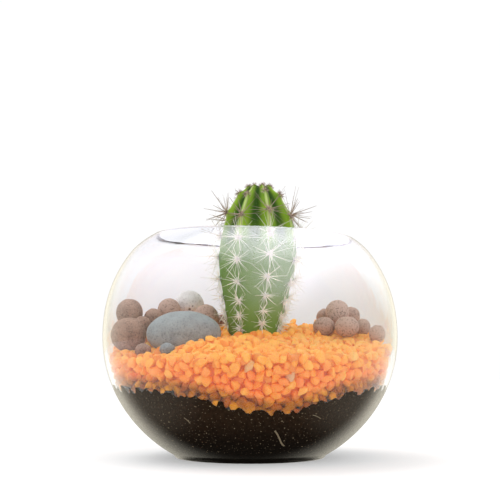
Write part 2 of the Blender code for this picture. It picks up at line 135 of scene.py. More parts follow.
def times(first, *others):
    """Numbers multiplied from left to right."""
    for other in others:
        first = maths("MULTIPLY", first, other)
    return first


def plus(first, *others):
    """Numbers added up from left to right."""
    for other in others:
        first = maths("ADD", first, other)
    return first


def vector_maths(operation, first, second):
    """What two vectors make."""
    return follow("ShaderNodeVectorMath", {0: first, 1: second}, {"operation": operation}).outputs[0]


def scaled(vector, factor):
    """A vector made longer or shorter."""
    return follow("ShaderNodeVectorMath", {0: vector, "Scale": factor}, {"operation": "SCALE"}).outputs[0]


def split(vector):
    """A vector's X, Y and Z, to be picked by their names."""
    return follow("ShaderNodeSeparateXYZ", {0: vector}).outputs


def joined(x, y=0, z=0):
    """A vector made of three numbers."""
    return follow("ShaderNodeCombineXYZ", {0: x, 1: y, 2: z}).outputs[0]


def on_object(tree):
    """The place on the object itself, which patterns follow."""
    return add(tree, "ShaderNodeTexCoord").outputs["Object"]


def clouds(where, size, detail=2):
    """Soft noise in blotches of about this size."""
    inputs = {"Vector": where, "Scale": 1 / size, "Detail": detail}
    return follow("ShaderNodeTexNoise", inputs).outputs["Fac"]


def cells(where, size):
    """How far each place is from the middle of its cell. Cells are of about this size."""
    return follow("ShaderNodeTexVoronoi", {"Vector": where, "Scale": 1 / size}).outputs["Distance"]


def bump(height, distance, strength=1, under=None, invert=False):
    """Fine relief that only light sees. It may lie over another one."""
    inputs = {"Height": height, "Distance": distance, "Strength": strength}
    if under:
        inputs["Normal"] = under
    return follow("ShaderNodeBump", inputs, {"invert": invert}).outputs["Normal"]


def stored(tree, name):
    """A number that the mesh carries, for a material."""
    return add(tree, "ShaderNodeAttribute", {"attribute_name": name}).outputs["Fac"]


def carried(tree, name, kind="FLOAT"):
    """What the mesh carries, for a tree of Geometry Nodes."""
    return add(tree, "GeometryNodeInputNamedAttribute", {"data_type": kind}, {"Name": name}).outputs[0]


def note_down(domain, geometry, name, value):
    """Stores a number on each point or on each instance."""
    inputs = {"Geometry": geometry, "Name": name, "Value": value}
    options = {"data_type": "FLOAT", "domain": domain}
    return follow("GeometryNodeStoreNamedAttribute", inputs, options).outputs[0]


RANDOM_SOCKETS = {"FLOAT_VECTOR": (0, 1, 0), "FLOAT": (2, 3, 1), "INT": (4, 5, 2)}


def at_random(tree, kind, low, high, seed):
    """Another value between two ends for each element."""
    first, second, result = RANDOM_SOCKETS[kind]
    inputs = {first: low, second: high, "Seed": seed}
    return add(tree, "FunctionNodeRandomValue", {"data_type": kind}, inputs).outputs[result]


# %% Shapes that every hill, slope and ring here is made of
def smooth_step(t):
    """0 below 0, 1 above 1, and an even S between."""
    t = min(1.0, max(0.0, t))
    return t * t * (3 - 2 * t)


def bell(x, y, centre_x, centre_y, spread):
    """A round hump of height 1."""
    return math.exp(-((x - centre_x) ** 2 + (y - centre_y) ** 2) / (2 * spread**2))


def angles(count):
    """Even steps once round the axis."""
    return [2 * math.pi * i / count for i in range(count)]


def polar(radius, angle, height):
    """A point round the axis."""
    return (radius * math.cos(angle), radius * math.sin(angle), height)


def circle(radius, height, count):
    """A ring of points round the axis, or one point where the radius is 0."""
    return [polar(radius, angle, height) for angle in angles(count)] if radius else [(0, 0, height)]

# %% Meshes and pieces
def new_piece(name, data, material=None):
    """Puts an object in the scene, at the origin."""
    piece = bpy.data.objects.new(name, data)
    bpy.context.scene.collection.objects.link(piece)
    if material:
        data.materials.clear()
        data.materials.append(material)
    return piece


def mesh_from(name, shape):
    """Turns a working shape into a mesh, and frees it."""
    mesh = bpy.data.meshes.new(name)
    shape.to_mesh(mesh)
    shape.free()
    return mesh


def store(mesh, name, value):
    """Gives every vertex of a mesh the same number."""
    note = mesh.attributes.new(name, "FLOAT", "POINT")
    note.data.foreach_set("value", [value] * len(mesh.vertices))


def skin(name, rings):
    """A closed surface through rings of points. The first and the last ring are each one point."""
    shape = bmesh.new()
    rows = [[shape.verts.new(point) for point in ring] for ring in rings]
    for low, high in zip(rows, rows[1:]):
        count = max(len(low), len(high))
        for i in range(count):
            corners = [low[i % len(low)], low[(i + 1) % len(low)]]
            corners += [high[(i + 1) % len(high)], high[i % len(high)]]
            shape.faces.new(list(dict.fromkeys(corners)))
    bmesh.ops.recalc_face_normals(shape, faces=shape.faces)
    mesh = mesh_from(name, shape)
    mesh.shade_smooth()
    return mesh


def grow_from_tree(name, source, tree, values):
    """Runs a Geometry Nodes tree on a mesh, and returns the result as a plain mesh.
    Values are given by the names of the tree's inputs, and set by their identifiers."""
    blank = new_piece(name + "_blank", source)
    grower = blank.modifiers.new(tree.name, "NODES")
    grower.node_group = tree
    for item in tree.interface.items_tree:
        if item.in_out == "INPUT" and item.name in values:
            grower[item.identifier] = values[item.name]
    bpy.context.view_layer.update()
    graph = bpy.context.evaluated_depsgraph_get()
    grown = bpy.data.meshes.new_from_object(blank.evaluated_get(graph))
    grown.name = name
    blank.modifiers.remove(grower)
    bpy.data.objects.remove(blank)
    print(name, "has", len(grown.polygons), "faces")
    return grown


def new_tree(name, kinds):
    """An empty Geometry Nodes tree with a geometry input, and other inputs given as names and kinds."""
    tree = bpy.data.node_groups.new(name, "GeometryNodeTree")
    for label, kind in {"Geometry": "Geometry", **kinds}.items():
        tree.interface.new_socket(label, in_out="INPUT", socket_type="NodeSocket" + kind)
    tree.interface.new_socket("Geometry", in_out="OUTPUT", socket_type="NodeSocketGeometry")
    return tree, add(tree, "NodeGroupInput").outputs


def close_tree(start, geometry, smooth=False):
    """Makes the instances real, gives them the finish, and ends the tree."""
    geometry = follow("GeometryNodeRealizeInstances", {"Geometry": geometry}).outputs[0]
    if smooth:
        geometry = follow("GeometryNodeSetShadeSmooth", {"Geometry": geometry}).outputs[0]
    dressed = follow("GeometryNodeSetMaterial", {"Geometry": geometry, "Material": start["Finish"]})
    follow("NodeGroupOutput", {0: dressed.outputs[0]})


def new_material(name):
    """An empty node material and its tree."""
    material = bpy.data.materials.new(name)
    material.use_nodes = True
    material.node_tree.nodes.clear()
    return material, material.node_tree


def principled(tree, inputs):
    """The shader that a material ends in."""
    shader = add(tree, "ShaderNodeBsdfPrincipled", inputs=inputs)
    follow("ShaderNodeOutputMaterial", {"Surface": shader.outputs[0]})


def settle(piece, node):
    """Says what a piece rides on, and hides the CAD node it stands for."""
    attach(piece, "root")
    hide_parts(node)

# %% [markdown]
# ## The camera
# The bowl was looked at from a little below half its height, with the camera tipped up by six
# degrees, so that the bowl sits low in the square frame. The distance and the lens were worked out
# from how far the near and the far edge of the rim lie apart. The tilt alone frames it, so the
# lens has no shift, and every other view round the object stays centred.

# %% A camera at the photograph's viewpoint
IMAGE_SIDE = 500
FOCAL_PIXELS = 1053.26
lens = bpy.data.cameras.new("terrarium_camera")
lens.sensor_width = 36
lens.lens = FOCAL_PIXELS / IMAGE_SIDE * lens.sensor_width
camera = new_piece("terrarium_camera", lens)
camera.location = (0, -650.36 * MM, 58.27 * MM)
camera.rotation_euler = (math.radians(90 + 5.991), 0, 0)
bpy.context.scene.camera = camera
print("lens", round(lens.lens, 2), "mm")

# %% [markdown]
# ## The glass bowl
# The bowl is free-blown: a bubble of soda-lime glass, flattened at the foot, cracked off at the
# mouth and fire-polished, which rounds the lip. Its wall is 2.2 mm thick, thicker in the floor, and
# thins to 1.3 mm at the lip.
# A surface of revolution could be a Screw modifier on a curve, but this rim is not level, so the
# rings are placed by the same rule as in the CAD model, only with five times as many of them. Both
# sides of the wall are there, because the eye sees glass by the light that bends at both.

# %% The bowl's outline
BOWL_RADIUS = 90 * MM
WIDEST_HEIGHT = 73.2 * MM
RIM_HEIGHT = 133.8 * MM
UPPER_SEMI_HEIGHT = 84.5 * MM
SHOULDER_POWER = 2.16
LOWER_SEMI_HEIGHT = 83.3 * MM
RIM_TURN_IN = 2.6 * MM
RIM_TURN_HEIGHT = 10 * MM
RIM_SLOPE = 0.0257
WALL = 2.2 * MM
LIP_WALL = 1.3 * MM
WALL_START = 1.6 * MM
INNER_START = 7.6 * MM


def outline(height):
    """The outer radius: a soft shoulder above the widest height, an ellipse below it."""
    if height > WIDEST_HEIGHT:
        share = (height - WIDEST_HEIGHT) / UPPER_SEMI_HEIGHT
        turn = max(0.0, height - RIM_HEIGHT + RIM_TURN_HEIGHT) / RIM_TURN_HEIGHT
        return BOWL_RADIUS * math.sqrt(1 - share**SHOULDER_POWER) - RIM_TURN_IN * turn**2
    share = (WIDEST_HEIGHT - height) / LOWER_SEMI_HEIGHT
    return BOWL_RADIUS * math.sqrt(1 - share**2)


def bowl_radius(height, inset=0.0):
    """The outer radius less an inset that is measured square to the wall."""
    step = 0.1 * MM
    slope = (outline(height + step) - outline(height - step)) / (2 * step)
    return outline(height) - inset * math.sqrt(1 + slope**2)


def rim_height(angle):
    """The rim stands a little higher on the left than on the right."""
    return RIM_HEIGHT - RIM_SLOPE * bowl_radius(RIM_HEIGHT) * math.cos(angle)


print("rim radius", round(bowl_radius(RIM_HEIGHT) / MM, 1), "mm")

# %% The wall goes up outside, over the lip, down inside and across the floor
BOWL_SEGMENTS = 256
WALL_ROWS = 72
LIP_ROWS = 10
LIP_PULL = 0.7 * MM
FOOT = ((0, 1.2), (14, 1.2), (26.5, 1.2), (27.6, 1.0), (28.8, 0.25), (30, 0), (33, 0), (44, 0))
FOOT += ((44.8, 0.14), (45.4, 0.5), (45.8, 1.0))
FLOOR = ((48.6, 6.35), (46.8, 5.75), (45, 5.3), (42.5, 4.9), (40, 4.6), (32, 4.35), (25, 4.2))
FLOOR += ((12, 4.2), (0, 4.2))


def wall_ring(share, inset, start=WALL_START):
    """A ring at a share of the way from the foot to the sloping rim."""
    points = []
    for angle in angles(BOWL_SEGMENTS):
        top = rim_height(angle)
        low = WALL_START + (start - WALL_START) * (top - WALL_START) / (RIM_HEIGHT - WALL_START)
        z = low + share * (top - low)
        points.append(polar(bowl_radius(z, inset), angle, z))
    return points


def lip_ring(share):
    """A ring over the lip. Its curve leaves the outer face and meets the inner one without a crease."""
    points = []
    for angle in angles(BOWL_SEGMENTS):
        z = rim_height(angle)
        outside, inside = Vector((bowl_radius(z), z)), Vector((bowl_radius(z, LIP_WALL), z))
        along = Vector((bowl_radius(z) - bowl_radius(z - 0.5 * MM), 0.5 * MM)).normalized() * LIP_PULL
        rest = 1 - share
        spot = rest**3 * outside + 3 * rest**2 * share * (outside + along)
        spot += 3 * rest * share**2 * (inside + along) + share**3 * inside
        points.append(polar(spot.x, angle, spot.y))
    return points


rings = [circle(radius * MM, height * MM, BOWL_SEGMENTS) for radius, height in FOOT]
rings += [wall_ring(i / WALL_ROWS, 0) for i in range(WALL_ROWS + 1)]
rings += [lip_ring(i / LIP_ROWS) for i in range(1, LIP_ROWS)]
for i in range(WALL_ROWS, -1, -1):
    # The upper half of the wall thins slowly towards the lip, where the hot glass was drawn out.
    thinned = (WALL - LIP_WALL) * smooth_step(i / WALL_ROWS * 2 - 1)
    rings.append(wall_ring(i / WALL_ROWS, WALL - thinned, start=INNER_START))
rings += [circle(radius * MM, height * MM, BOWL_SEGMENTS) for radius, height in FLOOR]
bowl_mesh = skin("blown_glass_bowl", rings)
print("bowl has", len(bowl_mesh.polygons), "faces")

# %% [markdown]
# ## Clear soda-lime glass
# Polished glass is smooth on both sides and bends light by an index of about 1.5. Its colour is
# all but nothing. A path tracer finds it hard to send lamp light through a bent surface, so for
# shadow rays, and for the rays that gather light on what is inside, the glass is plain
# transparent. What the camera sees is the real, bending glass, with a very slight waviness that
# blowing leaves, a ripple about 30 mm long.

# %% The glass material
glass, tree = new_material("clear_blown_soda_lime_glass")
where = on_object(tree)
ripple = clouds(where, 30 * MM, detail=0)
waves = bump(ripple, 0.05 * MM, strength=0.5)
inputs = {"Base Color": paint("#FDFEFE"), "Roughness": 0.0, "IOR": 1.5, "Transmission Weight": 1.0}
clear = follow("ShaderNodeBsdfPrincipled", {**inputs, "Normal": waves})
thin_air = add(tree, "ShaderNodeBsdfTransparent", inputs={"Color": paint("#FBFCFC")})
path = add(tree, "ShaderNodeLightPath").outputs
lets_light_in = maths("MAXIMUM", path["Is Shadow Ray"], path["Is Diffuse Ray"])
inputs = {0: lets_light_in, 1: clear.outputs[0], 2: thin_air.outputs[0]}
both = follow("ShaderNodeMixShader", inputs)
follow("ShaderNodeOutputMaterial", {"Surface": both.outputs[0]})
settle(new_piece("blown_glass_bowl", bowl_mesh, glass), "glass_bowl")

# %% [markdown]
# ## The lie of the soil and the gravel
# Two surfaces shape the fill. The soil dips at the front, and the gravel is banked up towards the
# back, mounded at the cactus and heaped under the pebbles. Both are simple sums of slopes and
# humps, the same as in the CAD model, so that every finer piece lies where the plain one did.

# %% Heights of the soil and of the gravel
SOIL_TOP = 41 * MM
GRAVEL_FRONT = 62 * MM


def soil_top(x, y):
    """The soil's surface, which dips at the front glass and rises at the two sides."""
    dip = 10.5 * MM * bell(x, y, 14 * MM, -82 * MM, 25 * MM)
    return SOIL_TOP - dip + 4 * MM * (x / BOWL_RADIUS) ** 2


# Heaps and hollows of the gravel: centre x and y, spread and height, in millimetres.
GRAVEL_HEAPS = (
    (5, -5, 30, 4),  # round the cactus
    (-54, 16, 20, 7),  # under the left pebbles
    (57, 21, 10, 2.5),  # under the right pebbles
    (-26, -38, 8, 7),  # against the river stone
    (-55, -52, 13, 2.5),  # at the front left
    (31, 50, 5.5, 4),  # a small crest at the back
    (25, 50, 17, -8),
    (48, -8, 13, -3),
    (-91, -6, 7, -9),
    (91, 6, 8, -8),
)


def gravel_top(x, y):
    """The gravel's surface: banked up to the back, lower at the sides, with its heaps."""
    bank = 24 * MM * smooth_step((y + 85 * MM) / (155 * MM))
    side = 6 * MM * (x / (85 * MM)) ** 2
    heaps = 0.0
    for centre_x, centre_y, spread, height in GRAVEL_HEAPS:
        heaps += height * MM * bell(x, y, centre_x * MM, centre_y * MM, spread * MM)
    return GRAVEL_FRONT + bank - side + 0.025 * x + heaps


def edge_radius(surface, angle, inset):
    """Where a surface meets the glass, less an inset, found by stepping towards it."""
    radius = BOWL_RADIUS - inset
    for _ in range(6):
        height = surface(radius * math.cos(angle), radius * math.sin(angle))
        radius = bowl_radius(height, inset)
    return radius


print("gravel at the front", round(gravel_top(0, -80 * MM) / MM, 1), "mm high")


# %% The same two surfaces, as rings of points
def surface_ring(surface, share, inset, count, drop=0.0):
    """A ring that lies on a surface, at a share of the way from the axis to the glass."""
    points = []
    for angle in angles(count):
        x, y, _ = polar(share * edge_radius(surface, angle, inset), angle, 0)
        points.append((x, y, surface(x, y) - drop))
    return points


def side_ring(low, high, share, inset, count, drop=0.0):
    """A ring down the glass, at a share of the way between two surfaces."""
    points = []
    for angle in angles(count):
        ends = []
        for surface in (low, high):
            x, y, _ = polar(edge_radius(surface, angle, inset), angle, 0)
            ends.append(surface(x, y))
        z = ends[0] + share * (ends[1] - drop - ends[0])
        points.append(polar(bowl_radius(z, inset), angle, z))
    return points

# %% [markdown]
# ## Potting soil
# Bagged potting mix is dark peat with crumbs, bark and a few pale fibres. Behind glass it shows as
# a nearly black wall, where crumbs press flat against the glass and small hollows lie between
# them. The body is one closed mesh whose side is pushed in a little by noise. The specks and the
# roots that lie in its skin get a step of their own, after the grains.

# %% Dark peat
peat, tree = new_material("potting_mix_of_dark_peat")
where = on_object(tree)
# Crumbs about 2.5 mm across, and dust about 0.6 mm.
crumb = cells(where, 2.5 * MM)
dust = clouds(where, 0.6 * MM)
damp = clouds(where, 22 * MM)
crumb_tone = blend(crumb, "#37271A", "#21160D")
tone = blend(damp, crumb_tone, "#22170E")
# The soil is darker towards its foot.
level = split(where)
toward_foot = soft_step(level["Z"], (30 * MM, 8 * MM), (0, 0.85))
darker_foot = blend(toward_foot, tone, "#0B0704")
# A few specks of grit, 0.5 mm, lighter than the rest.
grit = cells(where, 1.6 * MM)
is_grit = even_step(grit, (0.2, 0.08), (0, 0.5))
pick = clouds(where, 5 * MM)
is_picked = even_step(pick, (0.56, 0.66))
gritty = times(is_grit, is_picked)
colour = blend(gritty, darker_foot, "#8E7C62")
rough = bump(dust, 0.3 * MM)
lumps = bump(crumb, 1.2 * MM, under=rough, invert=True)
principled(tree, {"Base Color": colour, "Roughness": 0.95, "Specular IOR Level": 0.02, "Normal": lumps})

# %% The body of the soil
SOIL_SEGMENTS = 720
SOIL_ROWS = 30
# Damp soil clings to the glass, with no air between: its skin lies a hair inside the wall.
SOIL_INSET = WALL - 0.15 * MM
SOIL_FLOOR = ((0, 4.1), (12, 4.1), (25, 4.1), (32, 4.25), (40, 4.5), (45, 5.2), (48.6, 6.25))
UNDER_GRAVEL = 3 * MM


def lowest(_x, _y):
    return INNER_START


def bitten_top(x, y):
    """The soil's edge at the glass, bitten into where grains have sunk in."""
    coarse = noise.noise(Vector((x, y, 0)) / (4.5 * MM))
    fine = noise.noise(Vector((x, y, 30 * MM)) / (1.8 * MM))
    return soil_top(x, y) + 0.8 * MM - 3.4 * MM * smooth_step(0.5 + 1.1 * coarse) + 0.7 * MM * fine


rings = [circle(radius * MM, height * MM, SOIL_SEGMENTS) for radius, height in SOIL_FLOOR]
rings += [side_ring(lowest, bitten_top, i / SOIL_ROWS, SOIL_INSET, SOIL_SEGMENTS) for i in range(SOIL_ROWS)]
rings += [surface_ring(bitten_top, share, SOIL_INSET, SOIL_SEGMENTS) for share in (0.998, 0.97)]
for share in (0.9, 0.7, 0.4):
    rings.append(surface_ring(soil_top, share, SOIL_INSET, SOIL_SEGMENTS, UNDER_GRAVEL))
rings.append([(0, 0, soil_top(0, 0) - UNDER_GRAVEL)])
soil_mesh = skin("potting_mix", rings)
settle(new_piece("potting_mix", soil_mesh, peat), "potting_soil")
print("soil has", len(soil_mesh.polygons), "faces")

# %% [markdown]
# ## Dyed gravel
# The orange gravel is crushed stone that was tumbled and dyed: grains about 5 mm across, with
# soft edges and flat faces, in shades from yellow-orange to pink-orange. The grains could be
# dropped by a simulation, but only their outer layers are seen. So points are strewn over a copy
# of the CAD bed's skin, never nearer to each other than a set spacing, and a tree of Geometry Nodes
# puts a grain on each, turned and stretched at random. The copy keeps the bed's hills and hollows.
# A plain core below the grains shuts off the view between them.

# %% Eight grain shapes, each a ball cut flat by a few random planes
GRAIN_SHAPES = 8
GRAIN_FLATS = 8
grain_drawer = bpy.data.collections.new("grain_shapes")
bpy.context.scene.collection.children.link(grain_drawer)
for number in range(GRAIN_SHAPES):
    rng = random.Random(100 + number)
    shape = bmesh.new()
    bmesh.ops.create_icosphere(shape, subdivisions=2, radius=0.5)
    for _ in range(GRAIN_FLATS):
        flat = Vector([rng.gauss(0, 1) for _ in range(3)]).normalized()
        depth = rng.uniform(0.24, 0.38)
        for vert in shape.verts:
            over = vert.co.dot(flat) - depth
            if over > 0:
                vert.co -= flat * over
    # The cuts made the grain smaller, so it is let out again.
    for vert in shape.verts:
        vert.co *= 1.22
    grain = mesh_from(f"grain_{number}", shape)
    grain.shade_smooth()
    grain.set_sharp_from_angle(angle=math.radians(32))
    grain_drawer.objects.link(bpy.data.objects.new(f"grain_{number}", grain))
print("a grain has", len(grain.polygons), "faces")

# %% A tree that strews grains over a surface
CROWD = 400000.0  # points on a square metre, before the spacing thins them out
kinds = {"Spacing": "Float", "Grain Size": "Float", "Tilt": "Float", "Seed": "Int"}
kinds.update({"Grain Shapes": "Collection", "Finish": "Material"})
strew, start = new_tree("strew_grains", kinds)
inputs = {"Mesh": start["Geometry"], "Distance Min": start["Spacing"], "Density Max": CROWD}
inputs["Seed"] = start["Seed"]
spots = follow("GeometryNodeDistributePointsOnFaces", inputs, {"distribute_method": "POISSON"})
inputs = {"Collection": start["Grain Shapes"], "Separate Children": True, "Reset Children": True}
shapes = follow("GeometryNodeCollectionInfo", inputs)
which = at_random(strew, "INT", 0, GRAIN_SHAPES - 1, 3)
stretch = at_random(strew, "FLOAT_VECTOR", (0.85, 0.72, 0.66), (1.35, 1.06, 0.94), 5)
size = scaled(stretch, start["Grain Size"])
lean_low = times(start["Tilt"], -1.0)
low = joined(lean_low, lean_low)
high = joined(start["Tilt"], start["Tilt"], 2 * math.pi)
inputs = {"Rotation": spots.outputs["Rotation"], "Rotate By": at_random(strew, "FLOAT_VECTOR", low, high, 7)}
turn = follow("FunctionNodeRotateRotation", inputs, {"rotation_space": "LOCAL"})
inputs = {"Points": spots.outputs["Points"], "Instance": shapes.outputs[0], "Pick Instance": True}
inputs.update({"Instance Index": which, "Rotation": turn.outputs[0], "Scale": size})
grains = follow("GeometryNodeInstanceOnPoints", inputs)
tint = at_random(strew, "FLOAT", 0.0, 1.0, 11)
close_tree(start, note_down("INSTANCE", grains.outputs[0], "grain_tint", tint))

# %% [markdown]
# ## The dye on the gravel
# Dyed stone is matt with a soft sheen. Each grain has its own shade, read from an attribute that
# the tree stored on it. Painted light makes the top of the bed lighter and yellower. Where grains
# lie on the soil they are stained: deeper and more yellow, with dark dirt. Light also passes a
# little way into the grain, which makes the gaps glow. The dye is also given a painted glow, a
# little light of its own colour, which lifts the gaps further.

# %% Orange dye, a shade for each grain
dye, tree = new_material("tumbled_stone_dyed_orange")
where = on_object(tree)
own = stored(tree, "grain_tint")
ramp = follow("ShaderNodeValToRGB", {"Fac": own})
SHADES = ((0.0, "#FB863E"), (0.2, "#FF9240"), (0.5, "#FF9738"), (0.8, "#FF9F3A"), (0.93, "#FFB04A"))
SHADES += ((0.98, "#FFB858"), (1.0, "#D9A67E"))
while len(ramp.color_ramp.elements) < len(SHADES):
    ramp.color_ramp.elements.new(0.5)
for stop, (position, _) in zip(ramp.color_ramp.elements, SHADES):
    stop.position = position
for stop, (_, code) in zip(ramp.color_ramp.elements, SHADES):
    stop.color = paint(code)
# Dye takes unevenly: blotches about 2 mm across.
blotch = clouds(where, 2 * MM)
blotched = even_step(blotch, (0.45, 0.75), (0, 0.35))
patchy = blend(blotched, ramp.outputs["Color"], "#F57F30")
# Painted light makes the top of the bed lighter and yellower. Deep grains lie in the shade of the others,
# and look redder.
height = split(where)
painted_top_light = soft_step(height["Z"], (48 * MM, 66 * MM), (0, 0.6))
top_lit = blend(painted_top_light, patchy, "#FFC250")
layer = stored(tree, "in_shade")
shaded = blend(layer, top_lit, "#E06A24")
above = stored(tree, "above_soil")
stained = soft_step(above, (10 * MM, 2 * MM), (0, 1.0))
soaked = blend(own, "#A04A02", "#E09006")
stain = blend(stained, shaded, soaked)
# Peat has crept up between the lowest grains, in patches about 8 mm across.
creep = clouds(where, 8 * MM)
in_patch = soft_step(creep, (0.46, 0.6), (0, 0.45))
near_soil = soft_step(above, (9 * MM, 3 * MM))
is_dirty = times(in_patch, near_soil)
dirty = blend(is_dirty, stain, "#7A3C06")
# Dry grains have a soft sheen. Those in the wet at the soil have next to none.
sheen = even_step(near_soil, (0, 1), (0.5, 0.1))
gloss = even_step(blotch, (0, 1), (0.42, 0.62))
pitted = clouds(where, 0.7 * MM)
skin_bump = bump(pitted, 0.12 * MM)
# The emission is a painted glow in the dye's own colour, which lifts the gaps between the grains.
principled(tree, {
    "Base Color": dirty, "Roughness": gloss, "IOR": 1.5, "Specular IOR Level": sheen,
    "Subsurface Weight": 0.25, "Subsurface Radius": (1.0, 0.35, 0.12), "Subsurface Scale": 1.5 * MM,
    "Emission Color": dirty, "Emission Strength": 0.06, "Normal": skin_bump,
})

# %% The bed's own skin, copied from the frame, is what the grains are strewn on
# A face this near to the glass, or to the heights of the gravel, can be seen from outside.
SIDE_DEPTH = 8 * MM
TOP_DEPTH = 5 * MM
# The least air between a grain and the glass.
CLEARANCE = 0.35 * MM


def bed_skin(name, depth):
    """The frame's gravel without its underside and the stones' sockets, sunk by a depth."""
    shape = bmesh.new()
    shape.from_mesh(frame["nodes"]["orange_gravel"].data)
    bmesh.ops.remove_doubles(shape, verts=shape.verts, dist=0.01 * MM)
    hidden = []
    for face in shape.faces:
        x, y, z = face.calc_center_median()
        on_side = math.hypot(x, y) > bowl_radius(z, SIDE_DEPTH)
        if not on_side and z < gravel_top(x, y) - TOP_DEPTH:
            hidden.append(face)
    bmesh.ops.delete(shape, geom=hidden, context="FACES")
    shape.normal_update()
    for vert in shape.verts:
        hollow = 1.3 * MM * bell(vert.co.x, vert.co.y, -60 * MM, -45 * MM, 16 * MM)
        vert.co -= vert.normal * (depth + hollow)
        if vert.co.z < soil_top(vert.co.x, vert.co.y) + 2 * MM:
            vert.co.z -= 3 * MM
    return mesh_from(name, shape)


def press_to_glass(mesh, shade, clearance=CLEARANCE):
    """Flattens grains where they would stand in the glass, and notes how far above the soil each is."""
    note = mesh.attributes.new("above_soil", "FLOAT", "POINT")
    store(mesh, "in_shade", shade)
    for i, vert in enumerate(mesh.vertices):
        x, y, z = vert.co
        radius = math.hypot(x, y)
        limit = bowl_radius(min(max(z, 8 * MM), RIM_HEIGHT), WALL + clearance)
        if radius > limit:
            vert.co.x, vert.co.y = x * limit / radius, y * limit / radius
        note.data[i].value = z - soil_top(vert.co.x, vert.co.y)


def strewn(name, surface, finish, spacing, size, tilt, seed):
    """Grains strewn over a surface, as one mesh. Spacing and size are in millimetres."""
    values = {"Grain Shapes": grain_drawer, "Finish": finish, "Tilt": tilt, "Seed": seed}
    values.update({"Spacing": spacing * MM, "Grain Size": size * MM})
    return grow_from_tree(name, surface, strew, values)


# %% Grains in two layers: name, depth, spacing and size in mm, then how far they lie in shade
LAYERS = (
    ("gravel_outer_grains", 1.6, 4.2, 5.9, 0.0),
    ("gravel_inner_grains", 4.4, 4.4, 6.3, 0.55),
)
for seed, (name, depth, spacing, grain_size, shade) in enumerate(LAYERS):
    mesh = strewn(name, bed_skin(name, depth * MM), dye, spacing, grain_size, 0.6, 21 + seed)
    press_to_glass(mesh, shade)
    settle(new_piece(name, mesh), "orange_gravel")

# %% The core of the bed
CORE_INSET = 7.5 * MM
CORE_DROP = 4.5 * MM
CORE_SEGMENTS = 120
CORE_GAP = 0.6 * MM
rings = [[(0, 0, soil_top(0, 0) + CORE_GAP)]]
for share in (0.4, 0.7, 0.9):
    ring = surface_ring(soil_top, share, CORE_INSET - 1 * MM, CORE_SEGMENTS)
    rings.append([(x, y, z + CORE_GAP) for x, y, z in ring])
for share in (0.02, 0.2, 0.4, 0.6, 0.8, 1):
    rings.append(side_ring(soil_top, gravel_top, share, CORE_INSET, CORE_SEGMENTS, CORE_DROP))
for share in (0.95, 0.85, 0.7, 0.5, 0.3, 0.15):
    rings.append(surface_ring(gravel_top, share, CORE_INSET, CORE_SEGMENTS, CORE_DROP))
rings.append([(0, 0, gravel_top(0, 0) - CORE_DROP)])
core_mesh = skin("gravel_core", rings)
core = new_piece("gravel_core", core_mesh, dye)
core_mesh.attributes.new("grain_tint", "FLOAT", "POINT")
press_to_glass(core_mesh, 0.8)
settle(core, "orange_gravel")

# %% [markdown]
# ## Specks and roots in the soil
# Against the glass the peat shows specks: bits of bark and sand, most of them under a millimetre,
# and a few broken roots. The same tree that strewed the gravel strews the specks over the soil's
# side. They are pressed into the skin of the soil, so only their faces show. A root is one thick
# line through a few places on the glass.

# %% Specks of bark and sand: tan, grey and brown
speck_finish, tree = new_material("bark_and_sand_specks")
own = stored(tree, "grain_tint")
speck_ramp = follow("ShaderNodeValToRGB", {"Fac": own})
speck_ramp.color_ramp.elements[0].color = paint("#33271A")
speck_ramp.color_ramp.elements[1].color = paint("#857760")
principled(tree, {"Base Color": speck_ramp.outputs["Color"], "Roughness": 0.9, "Specular IOR Level": 0.1})

# %% Strew the specks over the soil's side
SPECKS = (("coarse_specks", 5.0, 0.75), ("fine_specks", 2.2, 0.4))
for seed, (name, spacing, speck_size) in enumerate(SPECKS):
    shape = bmesh.new()
    shape.from_mesh(soil_mesh)
    off_side = [f for f in shape.faces if abs(f.normal.z) > 0.9 or f.calc_center_median().z > 40 * MM]
    bmesh.ops.delete(shape, geom=off_side, context="FACES")
    side = mesh_from(name + "_side", shape)
    mesh = strewn(name, side, speck_finish, spacing, speck_size, 0.2, 61 + seed)
    press_to_glass(mesh, 0.0, -CLEARANCE)
    settle(new_piece(name, mesh), "potting_soil")

# %% The roots: places across and up, in mm, on the front glass
def root_fibre(name, places, thickness):
    """A pale fibre that lies against the front glass."""
    line = bpy.data.curves.new(name, "CURVE")
    line.dimensions = "3D"
    line.bevel_depth = thickness / 2
    line.bevel_resolution = 1
    line.use_fill_caps = True
    path = line.splines.new("NURBS")
    path.points.add(len(places) - 1)
    for point, (x, z) in zip(path.points, places):
        radius = bowl_radius(z * MM, WALL - 0.2 * MM)
        point.co = (x * MM, -math.sqrt(radius**2 - (x * MM) ** 2), z * MM, 1)
    path.use_endpoint_u = True
    path.order_u = 3
    holder = new_piece(name + "_line", line)
    mesh = bpy.data.meshes.new_from_object(holder.evaluated_get(bpy.context.evaluated_depsgraph_get()))
    bpy.data.objects.remove(holder)
    store(mesh, "grain_tint", 1.0)
    settle(new_piece(name, mesh, speck_finish), "potting_soil")


root_fibre("broken_root", ((13.4, 20.6), (14.4, 19.6), (16.2, 16), (17.4, 12.8), (18.8, 11.8)), 1.0 * MM)
root_fibre("thin_root", ((-36, 27.5), (-34, 26.4), (-32.6, 24.4)), 0.5 * MM)
root_fibre("short_root", ((34, 29), (36.5, 28.6), (38.6, 27)), 0.4 * MM)

# %% The grain shapes go back in the drawer
for sample in list(grain_drawer.objects):
    bpy.data.objects.remove(sample)
bpy.data.collections.remove(grain_drawer)

# %% [markdown]
# ## Stones
# Three kinds lie on the gravel. Clay pebbles are beads of clay that swelled and hardened in a
# kiln: brown, matt, dusty, with small pores. The river stone and one small pebble are fine grey
# siltstone, worn smooth by water, with a faint mottle. One pebble is pale, pitted limestone. Each
# is a ball stretched to three radii, a little uneven by the same rule as in the CAD model, then
# pushed in and out by finer noise.

